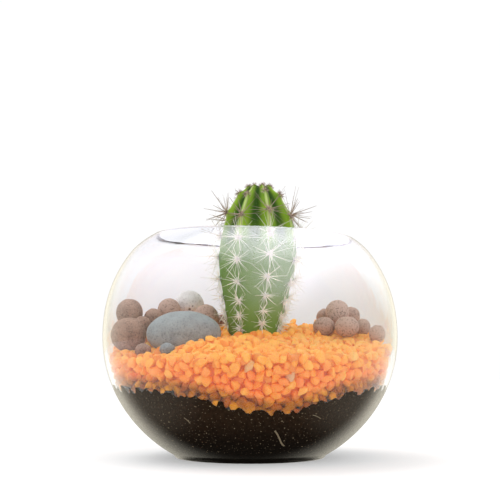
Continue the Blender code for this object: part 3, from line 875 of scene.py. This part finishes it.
# %% Where the stones lie: name, centre x, y, z, half width, depth and height in mm, and how pale each is
STONES = (
    ("river_stone", -39.6, -22.0, 74.1, 22.3, 13.5, 13.0, 0.38),
    ("clay_pebble_left_1", -73.2, -14.0, 73.6, 10.6, 10.2, 10.4, 0.12),
    ("clay_pebble_left_2", -74.4, -1.1, 87.2, 8.5, 8.2, 8.5, 0.25),
    ("clay_pebble_left_3", -80.8, 8.0, 77.4, 5.5, 5.5, 5.8, 0.5),
    ("clay_pebble_left_4", -60.0, 2.8, 83.4, 6.1, 6.1, 6.4, 0.3),
    ("clay_pebble_left_5", -51.1, 14.0, 89.0, 7.4, 7.2, 7.4, 0.85),
    ("pale_pebble", -39.2, 26.6, 93.1, 9.3, 8.4, 8.6, 0.5),
    ("clay_pebble_left_6", -27.4, 8.0, 84.5, 7.8, 6.8, 7.6, 0.9),
    ("clay_pebble_left_7", -18.2, 20.5, 81.6, 5.4, 5.4, 5.2, 0.12),
    ("clay_pebble_left_8", -61.4, -38.0, 63.4, 4.7, 4.7, 4.7, 0.0),
    ("grey_pebble", -47.4, -41.0, 64.7, 4.6, 4.2, 3.8, 0.12),
    ("clay_pebble_right_1", 59.9, 0.0, 78.7, 7.5, 6.8, 6.3, 0.85),
    ("clay_pebble_right_2", 46.1, 7.4, 79.2, 7.0, 6.6, 5.6, 0.65),
    ("clay_pebble_right_3", 55.4, 17.4, 87.9, 7.8, 7.4, 7.6, 1.0),
    ("clay_pebble_right_4", 47.9, 29.6, 85.4, 5.1, 5.1, 5.2, 0.55),
    ("clay_pebble_right_5", 65.3, 27.8, 85.9, 5.8, 5.6, 5.9, 0.65),
    ("clay_pebble_right_6", 70.8, 10.4, 78.8, 4.9, 4.9, 5.0, 0.75),
    ("clay_pebble_right_7", 78.1, -3.0, 74.3, 5.3, 5.0, 5.4, 0.95),
)
# A second lobe: how far its centre is from the stone's, and its radius, in mm.
LOBES = {"clay_pebble_left_1": (8.0, 3.0, 6.1, 5.2)}
RIVER_STONE_TILT = math.radians(-5)
LARGE = 8  # mm: a stone with a greater radius gets more faces

# %% Fired clay, siltstone and pale limestone share one way of being made
def stone_material(name, look):
    """A matt stone: a body colour, larger mottle, fine grain, dust on its upper side, and pits."""
    material, tree = new_material(name)
    where = on_object(tree)
    mottle = clouds(where, look["mottle"], detail=4)
    mixed = even_step(mottle, (0.35, 0.65))
    body = blend(mixed, look["dark"], look["light"])
    tone = stored(tree, "paleness")
    toned = blend(tone, body, look["pale"])
    grain = clouds(where, look["grain"], detail=3)
    speckle = even_step(grain, (0.55, 0.72), (0, look["speckle"]))
    speckled = blend(speckle, toned, look["fleck"])
    shadow = even_step(grain, (0.47, 0.34), (0, look["speckle"]))
    sandy = blend(shadow, speckled, look["pore_colour"])
    facing = add(tree, "ShaderNodeNewGeometry")
    up = split(facing.outputs["Normal"])
    lies = soft_step(up["Z"], (-0.1, 1.0), (0, look["dust"]))
    dusty = blend(lies, sandy, look["dust_colour"])
    pores = cells(where, look["pore_spacing"])
    pore = soft_step(pores, (look["pore"], look["pore"] * 0.4))
    shaded = blend(pore, dusty, look["pore_colour"])
    pitted = bump(pore, 0.5 * MM, strength=0.8, invert=True)
    textured = bump(grain, look["relief"], under=pitted)
    principled(tree, {
        "Base Color": shaded, "Roughness": look["roughness"], "Specular IOR Level": look["shine"],
        "Normal": textured,
    })
    return material


fired_clay = stone_material("fired_expanded_clay", {
    "dark": "#7C5648", "light": "#A67C6A", "pale": "#C9AA9C", "mottle": 7 * MM,
    "fleck": "#B99A8A", "grain": 1.0 * MM, "speckle": 0.6, "relief": 0.28 * MM,
    "dust_colour": "#C0A294", "dust": 0.35, "pore_colour": "#3E251B", "pore": 0.2, "pore_spacing": 1.9 * MM,
    "roughness": 0.92, "shine": 0.2,
})
siltstone = stone_material("water_worn_grey_siltstone", {
    "dark": "#676B6E", "light": "#90979B", "pale": "#B4B7B8", "mottle": 7 * MM,
    "fleck": "#A9B0B4", "grain": 1.2 * MM, "speckle": 0.4, "relief": 0.2 * MM,
    "dust_colour": "#A2A7AA", "dust": 0.4, "pore_colour": "#444A4E", "pore": 0.06, "pore_spacing": 5.5 * MM,
    "roughness": 0.7, "shine": 0.35,
})
pale_stone = stone_material("pale_pitted_limestone", {
    "dark": "#BCB3B1", "light": "#E8E2E1", "pale": "#F4F1F1", "mottle": 6 * MM,
    "fleck": "#CFC6C0", "grain": 0.9 * MM, "speckle": 0.35, "relief": 0.2 * MM,
    "dust_colour": "#E6DEDA", "dust": 0.35, "pore_colour": "#6A5E59", "pore": 0.22, "pore_spacing": 5 * MM,
    "roughness": 0.85, "shine": 0.25,
})
KINDS = {"river_stone": (siltstone, "grey_stone"), "grey_pebble": (siltstone, "grey_stone")}
KINDS["pale_pebble"] = (pale_stone, "pale_stone")


# %% A ball with the CAD stone's swell, and finer noise on it
def ball_mesh(name, centre, radii, rounds, unevenness):
    """A stone's skin, in place. Unevenness is how far the finer noise pushes it, in metres."""
    shape = bmesh.new()
    bmesh.ops.create_icosphere(shape, subdivisions=rounds, radius=1)
    rng = random.Random(name)
    waves = []
    for _ in range(3):
        way = Vector([rng.uniform(-2.2, 2.2) for _ in range(3)])
        waves.append((way, rng.uniform(0, 6)))
    shift = Vector([rng.uniform(0, 50) for _ in range(3)])
    for vert in shape.verts:
        swell = 1 + sum(0.018 * math.sin(vert.co.dot(way) + phase) for way, phase in waves)
        lump = noise.noise(vert.co * 2.4 + shift) + 0.5 * noise.noise(vert.co * 6 + shift)
        size = Vector(radii) * MM * swell
        out = vert.co.normalized()
        vert.co = Vector(p * q for p, q in zip(vert.co, size)) + out * unevenness * lump
    if name == "river_stone":
        tilt = Matrix.Rotation(RIVER_STONE_TILT, 3, "Y")
        bmesh.ops.rotate(shape, verts=shape.verts, cent=(0, 0, 0), matrix=tilt)
    bmesh.ops.translate(shape, verts=shape.verts, vec=Vector(centre) * MM)
    return shape


# %% Make the stones
def make_stone(name, x, y, z, a, b, c, paleness):
    """One stone, with its second lobe fused on if it has one."""
    unevenness = (0.12 if name == "river_stone" else 0.22) * MM
    shape = ball_mesh(name, (x, y, z), (a, b, c), 5 if max(a, b, c) > LARGE else 4, unevenness)
    if name in LOBES:
        dx, dy, dz, radius = LOBES[name]
        extra = mesh_from("lobe", ball_mesh("lobe", (x + dx, y + dy, z + dz), (radius,) * 3, 4, 0.2 * MM))
        shape.from_mesh(extra)
        bpy.data.meshes.remove(extra)
    mesh = mesh_from("fine_" + name, shape)
    mesh.shade_smooth()
    material, slot = KINDS.get(name, (fired_clay, "fired_clay"))
    piece = new_piece("fine_" + name, mesh, material)
    if name in LOBES:
        # The two balls become one skin, and smoothing rounds the crease where they meet.
        fuse = piece.modifiers.new("fuse", "REMESH")
        fuse.mode = "VOXEL"
        fuse.voxel_size = 0.5 * MM
        soften = piece.modifiers.new("soften", "SMOOTH")
        soften.iterations = 8
        graph = bpy.context.evaluated_depsgraph_get()
        fused = bpy.data.meshes.new_from_object(piece.evaluated_get(graph))
        piece.modifiers.clear()
        piece.data = fused
        fused.shade_smooth()
        fused.materials.clear()
        fused.materials.append(material)
    store(piece.data, "paleness", paleness)
    settle(piece, name)
    return piece


stones = [make_stone(*stone) for stone in STONES]
print(len(stones), "stones,", sum(len(s.data.polygons) for s in stones), "faces")

# %% [markdown]
# ## The cactus
# The plant is a young columnar cactus with eight ribs. Along each rib sit areoles, small woolly
# cushions that the spines grow from. The stem is a lathe shape that a Geometry Nodes tree ribs:
# it measures how far each point is from the nearest crest and pushes it in by the groove's depth.
# The tree also stores that distance, which the skin's colours follow.

# %% The stem's outline
RIBS = 8
FIRST_RIB = math.radians(-75)
CACTUS_FOOT_X = 2.6 * MM
CACTUS_LEAN = 3.2 * MM
STEM_BOTTOM = 22 * MM
STEM_TAPER_TOP = 70 * MM
CACTUS_WIDEST_HEIGHT = 122 * MM
CACTUS_TOP = 167 * MM
ROOT_RADIUS = 9 * MM
STEM_FOOT_RADIUS = 15.7 * MM
CACTUS_RADIUS = 24.8 * MM
CROWN_POWER = 2.15
GROOVE_ON_BODY = 0.10
GROOVE_ON_DOME = 0.18
FIRST_AREOLE = 80.2 * MM


def cactus_centre(height):
    """The stem leans a little to the right as it rises, and then goes straight up."""
    lean = CACTUS_LEAN * smooth_step((height - STEM_TAPER_TOP) / (75 * MM))
    return Vector((CACTUS_FOOT_X + lean, 0, height))


def crest_radius(height):
    """The radius at the crest of a rib: a half ellipse above, a long taper below."""
    if height > CACTUS_WIDEST_HEIGHT:
        share = (height - CACTUS_WIDEST_HEIGHT) / (CACTUS_TOP - CACTUS_WIDEST_HEIGHT)
        return CACTUS_RADIUS * math.sqrt(max(0.0, 1 - share**CROWN_POWER))
    if height > STEM_TAPER_TOP:
        share = (height - STEM_TAPER_TOP) / (CACTUS_WIDEST_HEIGHT - STEM_TAPER_TOP)
        return STEM_FOOT_RADIUS + (CACTUS_RADIUS - STEM_FOOT_RADIUS) * smooth_step(share)
    share = (height - STEM_BOTTOM) / (STEM_TAPER_TOP - STEM_BOTTOM)
    return ROOT_RADIUS + (STEM_FOOT_RADIUS - ROOT_RADIUS) * smooth_step(share)


# %% A tree that cuts ribs into a lathe shape
kinds = dict.fromkeys(("Ribs", "First Rib", "Groove on Body", "Groove on Dome"), "Float")
ribber, start = new_tree("rib_the_stem", {**kinds, "Finish": "Material"})
axes = split(add(ribber, "GeometryNodeInputPosition").outputs[0])
angle = maths("ARCTAN2", axes["Y"], axes["X"])
in_turns = maths("DIVIDE", maths("SUBTRACT", angle, start["First Rib"]), 2 * math.pi)
in_rib = maths("FRACT", times(in_turns, start["Ribs"]))
crest = times(maths("ABSOLUTE", maths("SUBTRACT", in_rib, 0.5)), 2.0)
to_groove = maths("SUBTRACT", 1.0, crest)
groove_shape = mix(0.2, to_groove, soft_step(to_groove))
on_body = soft_step(axes["Z"], (66 * MM, 106 * MM), (0, start["Groove on Body"]))
on_dome = soft_step(axes["Z"], (128 * MM, 158 * MM), (0, start["Groove on Dome"]))
cut = times(plus(on_body, on_dome), groove_shape)
keep = maths("SUBTRACT", 1.0, cut)
moved_to = joined(times(axes["X"], keep), times(axes["Y"], keep), axes["Z"])
noted = note_down("POINT", start["Geometry"], "crest", crest)
ribbed = follow("GeometryNodeSetPosition", {"Geometry": noted, "Position": moved_to})
close_tree(start, ribbed.outputs[0])

# %% [markdown]
# ## The skin of the cactus
# A cactus has a waxy skin. The young growth at the top is fresh green on the flanks, with painted
# shade in the grooves and a painted highlight, pale and almost yellow, along each crest. The old
# growth below has evened out to a duller, deeper green. The wax gives a soft gloss. Pale dots, the
# breathing pores, are about half a millimetre across.

# %% Waxy green skin
green, tree = new_material("waxy_green_cactus_skin")
where = on_object(tree)
height = split(where)
ridge = stored(tree, "crest")
patches = clouds(where, 9 * MM)
body = blend(patches, "#507E0A", "#9ABA34")
old_body = blend(patches, "#5A8220", "#749634")
young = soft_step(height["Z"], (118 * MM, 146 * MM))
grown = blend(young, old_body, body)
# Painted shade darkens the grooves of the young growth.
painted_groove_shade = soft_step(ridge, (0.75, 0.15), (0, 0.92))
young_groove_shade = times(painted_groove_shade, young)
groove_shaded = blend(young_groove_shade, grown, "#1E4404")
# A painted highlight, pale and almost yellow, lies along each crest.
painted_crest_highlight = soft_step(ridge, (0.8, 0.96), (0, 0.8))
young_crest_highlight = times(painted_crest_highlight, young)
crest_highlighted = blend(young_crest_highlight, groove_shaded, "#C4D288")
dots = cells(where, 1.4 * MM)
dot = even_step(dots, (0.2, 0.1), (0, 0.25))
dotted = blend(dot, crest_highlighted, "#A9C080")
wax = even_step(patches, (0, 1), (0.36, 0.52))
fine = clouds(where, 0.8 * MM)
skin_bump = bump(fine, 0.1 * MM)
principled(tree, {
    "Base Color": dotted, "Roughness": wax, "IOR": 1.45, "Specular IOR Level": 0.2,
    "Subsurface Weight": 0.1, "Subsurface Radius": (0.4, 1.0, 0.15), "Subsurface Scale": 2 * MM,
    "Normal": skin_bump,
})

# %% The stem, ribbed, leaned and swollen a little at each areole
STEM_TURNS = 160
AREOLE_SWELL = 0.7 * MM


def areole_heights(rib):
    """Areoles sit close together at the foot and further apart above, staggered rib by rib."""
    height = FIRST_AREOLE - (2.8 * MM if rib % 2 else 0)
    step = 7.4 * MM
    heights = []
    while height < CACTUS_TOP - 3 * MM:
        heights.append(height)
        height += step
        near_top = smooth_step((height - 140 * MM) / (20 * MM))
        step = min(14 * MM, step * 1.22) * (1 - 0.3 * near_top)
    return heights + [CACTUS_TOP - 1.6 * MM]


rows = [22.3, 24, 28, 34, 40, 46, 52, 58, 64]
rows += [68 + 1.1 * i for i in range(68)]
rows += [143 + 0.8 * i for i in range(20)]
rows += [159.3, 160.2, 161.1, 162, 162.8, 163.6, 164.3, 164.9, 165.4, 165.7]
lathe = [[(0, 0, STEM_BOTTOM)]]
lathe += [circle(crest_radius(row * MM), row * MM, STEM_TURNS) for row in rows]
lathe.append([(0, 0, CACTUS_TOP - 1.2 * MM)])
values = {"Ribs": float(RIBS), "First Rib": FIRST_RIB, "Finish": green}
values.update({"Groove on Body": GROOVE_ON_BODY, "Groove on Dome": GROOVE_ON_DOME})
stem_mesh = grow_from_tree("cactus_stem", skin("stem_blank", lathe), ribber, values)

areole_spots = []
for rib in range(RIBS):
    angle = FIRST_RIB + 2 * math.pi * rib / RIBS
    for height in areole_heights(rib):
        at = crest_radius(height) * Vector((math.cos(angle), math.sin(angle), 0))
        above = crest_radius(height + MM) * Vector((math.cos(angle), math.sin(angle), 0))
        along = (above - at + Vector((0, 0, MM))).normalized()
        across = Vector((-math.sin(angle), math.cos(angle), 0))
        outward = across.cross(along).normalized()
        areole_spots.append((at + Vector((0, 0, height)), along, outward))
for vert in stem_mesh.vertices:
    push = Vector()
    for at, along, outward in areole_spots:
        gap = (vert.co - at).length
        if gap < 6 * MM:
            on_dome = smooth_step((at.z - 136 * MM) / (14 * MM))
            swell = AREOLE_SWELL * (1 + 1.0 * on_dome)
            push += outward * swell * math.exp(-((gap / ((1.9 + 0.4 * on_dome) * MM)) ** 2))
    vert.co += push
    vert.co.x += cactus_centre(vert.co.z).x
stem_mesh.shade_smooth()
settle(new_piece("cactus_stem", stem_mesh), "cactus")
print(len(areole_spots), "areoles")

# %% [markdown]
# ## Spines and wool
# Each areole carries a star of thin spines, a few stouter ones that stand out from its middle,
# and a tuft of wool. The spines spread over the skin and droop a little. They are cream, with a
# tan tip, and brown on the young crown. Sixteen spines on each of some ninety areoles are a job
# for Geometry Nodes: a point for every areole carries its directions and its reach as attributes,
# each point is copied once for each spine, and a bent cone with few faces is put on each copy.

# %% Points that carry each areole's directions
WOOL_LIFT = 0.5 * MM


def spine_length(height):
    """Short at the foot, longest round the shoulder and short again on the young crown."""
    grown = 5.6 * MM + 6.6 * MM * smooth_step((height - 84 * MM) / (50 * MM))
    young = smooth_step((height - 150 * MM) / (16 * MM))
    budding = smooth_step((height - 152 * MM) / (8 * MM))
    return grown * (1 - 0.62 * young) * (1 - 0.6 * budding)


def areole_points(name):
    """A mesh of bare points, one for each areole."""
    mesh = bpy.data.meshes.new(name)
    places = []
    for at, along, outward in areole_spots:
        spot = at + outward * WOOL_LIFT
        spot.x += cactus_centre(at.z).x
        places.append(spot)
    mesh.from_pydata(places, [], [])
    for label in ("along", "outward"):
        mesh.attributes.new(label, "FLOAT_VECTOR", "POINT")
    for label in ("reach", "young"):
        mesh.attributes.new(label, "FLOAT", "POINT")
    for i, (at, along, outward) in enumerate(areole_spots):
        mesh.attributes["along"].data[i].vector = along
        mesh.attributes["outward"].data[i].vector = outward
        mesh.attributes["reach"].data[i].value = spine_length(at.z)
        mesh.attributes["young"].data[i].value = smooth_step((at.z - 128 * MM) / (16 * MM))
    return mesh


# %% A tree that grows a star of bent needles on every point
NEEDLE_KINDS = {"Needles": "Int", "Thickness": "Float", "Length Share": "Float", "Lift Low": "Float"}
NEEDLE_KINDS.update({"Lift High": "Float", "Droop": "Float", "Bend": "Float", "Seed": "Int"})
NEEDLE_KINDS["Finish"] = "Material"
starrer, start = new_tree("grow_needles", NEEDLE_KINDS)
outward = carried(starrer, "outward", "FLOAT_VECTOR")
along = carried(starrer, "along", "FLOAT_VECTOR")
reach = carried(starrer, "reach")
young = carried(starrer, "young")
points = follow("GeometryNodeMeshToPoints", {"Mesh": start["Geometry"]})
inputs = {"Geometry": points.outputs[0], "Amount": start["Needles"]}
doubled = follow("GeometryNodeDuplicateElements", inputs, {"domain": "POINT"})
share = maths("DIVIDE", doubled.outputs["Duplicate Index"], start["Needles"])
wander = at_random(starrer, "FLOAT", -0.3, 0.3, start["Seed"])
turn = plus(times(share, 2 * math.pi), wander)
across = vector_maths("CROSS_PRODUCT", outward, along)
part_across = scaled(across, maths("COSINE", turn))
part_along = scaled(along, maths("SINE", turn))
flat = vector_maths("ADD", part_across, part_along)
lift = at_random(starrer, "FLOAT", start["Lift Low"], start["Lift High"], 17)
level = scaled(flat, maths("COSINE", lift))
upright = scaled(outward, maths("SINE", lift))
way = vector_maths("ADD", level, upright)
way_down = vector_maths("SUBTRACT", way, scaled(along, start["Droop"]))
aimed = add(starrer, "FunctionNodeAlignRotationToVector", {"axis": "Z"}, {"Vector": way_down})
roll = at_random(starrer, "FLOAT_VECTOR", (0, 0, 0), (0, 0, 2 * math.pi), 19)
inputs = {"Rotation": aimed.outputs[0], "Rotate By": roll}
rolled = follow("FunctionNodeRotateRotation", inputs, {"rotation_space": "LOCAL"})
vary = at_random(starrer, "FLOAT", 0.62, 1.15, 23)
length = times(reach, vary, start["Length Share"])
size = joined(start["Thickness"], start["Thickness"], length)
inputs = {"Vertices": 5, "Side Segments": 4, "Radius Top": 0.3, "Radius Bottom": 1.0, "Depth": 1.0}
cone = add(starrer, "GeometryNodeMeshCone", {"fill_type": "NGON"}, inputs)
up_cone = split(add(starrer, "GeometryNodeInputPosition").outputs[0])["Z"]
# The bend is a share of the length, and the needle is stretched later, so it is scaled up here.
slenderness = maths("DIVIDE", 9 * MM, start["Thickness"])
bend_by = times(start["Bend"], slenderness)
bend = times(maths("POWER", up_cone, 2.0), bend_by)
noted = note_down("POINT", cone.outputs["Mesh"], "to_tip", up_cone)
bent = follow("GeometryNodeSetPosition", {"Geometry": noted, "Offset": joined(bend)})
inputs = {"Points": doubled.outputs[0], "Instance": bent.outputs[0], "Rotation": rolled.outputs[0]}
inputs["Scale"] = size
needles = follow("GeometryNodeInstanceOnPoints", inputs)
aged = note_down("INSTANCE", needles.outputs[0], "young_growth", young)
close_tree(start, aged, smooth=True)

# %% Spines are horny, cream to brown
horn, tree = new_material("horny_cactus_spine")
to_tip = stored(tree, "to_tip")
age = stored(tree, "young_growth")
browning = soft_step(to_tip, (0.55, 1.0), (0, 0.3))
old = blend(browning, "#FFFEF0", "#C4AE92")
fresh = blend(to_tip, "#AA988A", "#5A463E")
both_ages = blend(age, old, fresh)
principled(tree, {
    "Base Color": both_ages, "Roughness": 0.45, "IOR": 1.5, "Subsurface Weight": 0.4,
    "Subsurface Radius": (1.0, 0.9, 0.7), "Subsurface Scale": 1 * MM,
})

# %% Wool is a pinkish felt
felt, tree = new_material("pinkish_areole_wool")
where = on_object(tree)
tuft = clouds(where, 0.5 * MM)
age = stored(tree, "young_growth")
old_wool = blend(tuft, "#FFF3EE", "#FFFFFF")
fresh_wool = blend(tuft, "#AC887A", "#EED8CC")
wool_tone = blend(age, old_wool, fresh_wool)
principled(tree, {"Base Color": wool_tone, "Roughness": 0.95, "Sheen Weight": 0.3})

# %% Grow the spines and the wool. Each row gives the tree's inputs in their order
GROWTHS = (
    ("cactus_spines", 16, 0.18 * MM, 1.35, 0.05, 0.6, 0.18, 0.04, 2, horn),
    ("central_spines", 4, 0.3 * MM, 1.25, 0.7, 1.4, 0.05, 0.02, 6, horn),
    ("areole_wool", 36, 0.24 * MM, 0.13, 0.1, 1.5, 0.1, 0.3, 4, felt),
)
for name, *row in GROWTHS:
    mesh = grow_from_tree(name, areole_points(name + "_points"), starrer, dict(zip(NEEDLE_KINDS, row)))
    settle(new_piece(name, mesh), "cactus")

# %% [markdown]
# ## Floor and studio light
# The bowl stands on a white table that runs into a white background. The light is soft: the whole
# room is pale, a wide lamp hangs high behind the left side, and a bright ceiling shows as a veil on
# the upper front of the glass. What mirrors in the glass is set apart from what lights the scene, as
# a photographer does with black and white cards: bright above and behind, dim behind the camera.

# %% The floor
floor_shape = bmesh.new()
bmesh.ops.create_circle(floor_shape, cap_ends=True, segments=96, radius=2.4)
paper, tree = new_material("white_studio_paper")
principled(tree, {
    "Base Color": (0.72, 0.72, 0.72, 1), "Roughness": 0.9, "Specular IOR Level": 0.1,
    "Emission Color": (1, 1, 1, 1), "Emission Strength": 0.32,
})
floor = new_piece("studio_floor", mesh_from("studio_floor", floor_shape), paper)
floor.visible_glossy = False

# %% The room
BACKGROUND = 1.02
THROUGH = 1.18
BESIDE = 1.1
ROOM_LIGHT = 1.0
LIP_LIGHT = 0.9
world = bpy.data.worlds.new("pale_studio")
bpy.context.scene.world = world
world.use_nodes = True
room = world.node_tree
room.nodes.clear()
toward = split(add(room, "ShaderNodeTexCoord").outputs["Generated"])
in_front = soft_step(toward["Z"], (-0.6, 0.0), (0.03, 0.24))
is_behind = soft_step(toward["Y"], (0.45, 0.95))
sideways = maths("ABSOLUTE", toward["X"])
far_side = soft_step(sideways, (0.08, 0.4), (0.45, BESIDE))
# High behind the bowl hangs more white paper, to the left and to the right of the plant.
raised = soft_step(toward["Z"], (0.15, 0.45))
off_plant = soft_step(sideways, (0.05, 0.2))
far_wall = mix(times(raised, off_plant), far_side, BESIDE)
behind = mix(is_behind, in_front, far_wall)
to_window = soft_step(toward["X"], (-0.4, 0.45), (0.1, 2.2))
is_up = soft_step(toward["Z"], (0.0, 0.8), (0, 1.55))
window_end = soft_step(toward["X"], (0.5, 0.85), (1.0, 0.2))
front_box = times(is_up, times(to_window, window_end))
# The ceiling light ends above the back of the bowl, so there the sum is cut down again.
over_the_back = soft_step(toward["Y"], (-0.05, 0.3), (0, -1.0))
high = soft_step(toward["Z"], (0.7, 0.9))
back_strip = times(over_the_back, high)
ceiling = soft_step(toward["Z"], (0.78, 0.98), (0, 3.0))
side_cards = soft_step(sideways, (0.4, 0.8), (0, 0.4))
above_all = plus(front_box, ceiling, side_cards, back_strip)
boxes = times(above_all, maths("SUBTRACT", 1.0, is_behind))
# The lit table beside the bowl shows low in its two flanks.
flank = soft_step(sideways, (0.3, 0.6), (0, 0.85))
below = soft_step(toward["Z"], (-0.05, -0.3))
mirrored = plus(behind, boxes, times(flank, below, is_behind))
# Seen straight through the glass, the paper is whitest a little way up.
paper_seen = soft_step(toward["Z"], (0.015, 0.1), (0.805, THROUGH))
off_axis = soft_step(sideways, (0.16, 0.5), (1.0, 0.62))
through = times(paper_seen, off_axis)
ray = add(room, "ShaderNodeLightPath").outputs
plain_or_through = mix(ray["Is Transmission Ray"], ROOM_LIGHT, through)
plain_or_seen = mix(ray["Is Camera Ray"], plain_or_through, BACKGROUND)
# A ray that polished glass has mirrored, at either face of the wall, sees the studio's cards.
bounced = maths("GREATER_THAN", ray["Glossy Depth"], 0.5)
in_polish = times(bounced, ray["Is Singular Ray"])
# Light that bounces more than once has run round inside the lip, and comes from the white paper.
runs_round = maths("GREATER_THAN", ray["Glossy Depth"], 1.5)
in_glass = mix(runs_round, mirrored, LIP_LIGHT)
strength = mix(in_polish, plain_or_seen, in_glass)
# Through the glass the room looks a little lilac on the left and warm on the right.
to_right = even_step(toward["X"], (-0.12, 0.12))
cast = blend(to_right, (0.965, 0.97, 1.03, 1), (0.885, 0.89, 0.885, 1))
seen_tint = blend(ray["Is Transmission Ray"], (1, 1, 1, 1), cast)
# The lamps above are daylight, and what the flanks mirror is warm.
overhead = soft_step(toward["Z"], (0.1, 0.6))
polish_tint = blend(overhead, (1.06, 1.0, 0.84, 1), (1.0, 0.96, 1.12, 1))
tint = blend(in_polish, seen_tint, polish_tint)
sky = follow("ShaderNodeBackground", {"Color": tint, "Strength": strength})
follow("ShaderNodeOutputWorld", {"Surface": sky.outputs[0]})

# %% The lamps
LAMPS = (
    ("key_softbox", (-0.6, 0.45, 1.2), 0.9, 6),
    ("fill_softbox", (0.9, -0.5, 0.9), 0.8, 1),
)
for name, place, side, power in LAMPS:
    lamp = bpy.data.lights.new(name, "AREA")
    lamp.shape = "SQUARE"
    lamp.size = side
    lamp.energy = power
    stand = new_piece(name, lamp)
    stand.location = place
    stand.rotation_euler = (Vector((0, 0, 0.07)) - Vector(place)).to_track_quat("-Z", "Y").to_euler()
    stand.visible_camera = False
    stand.visible_glossy = False
    stand.visible_transmission = False

bpy.context.scene.view_settings.view_transform = "Standard"
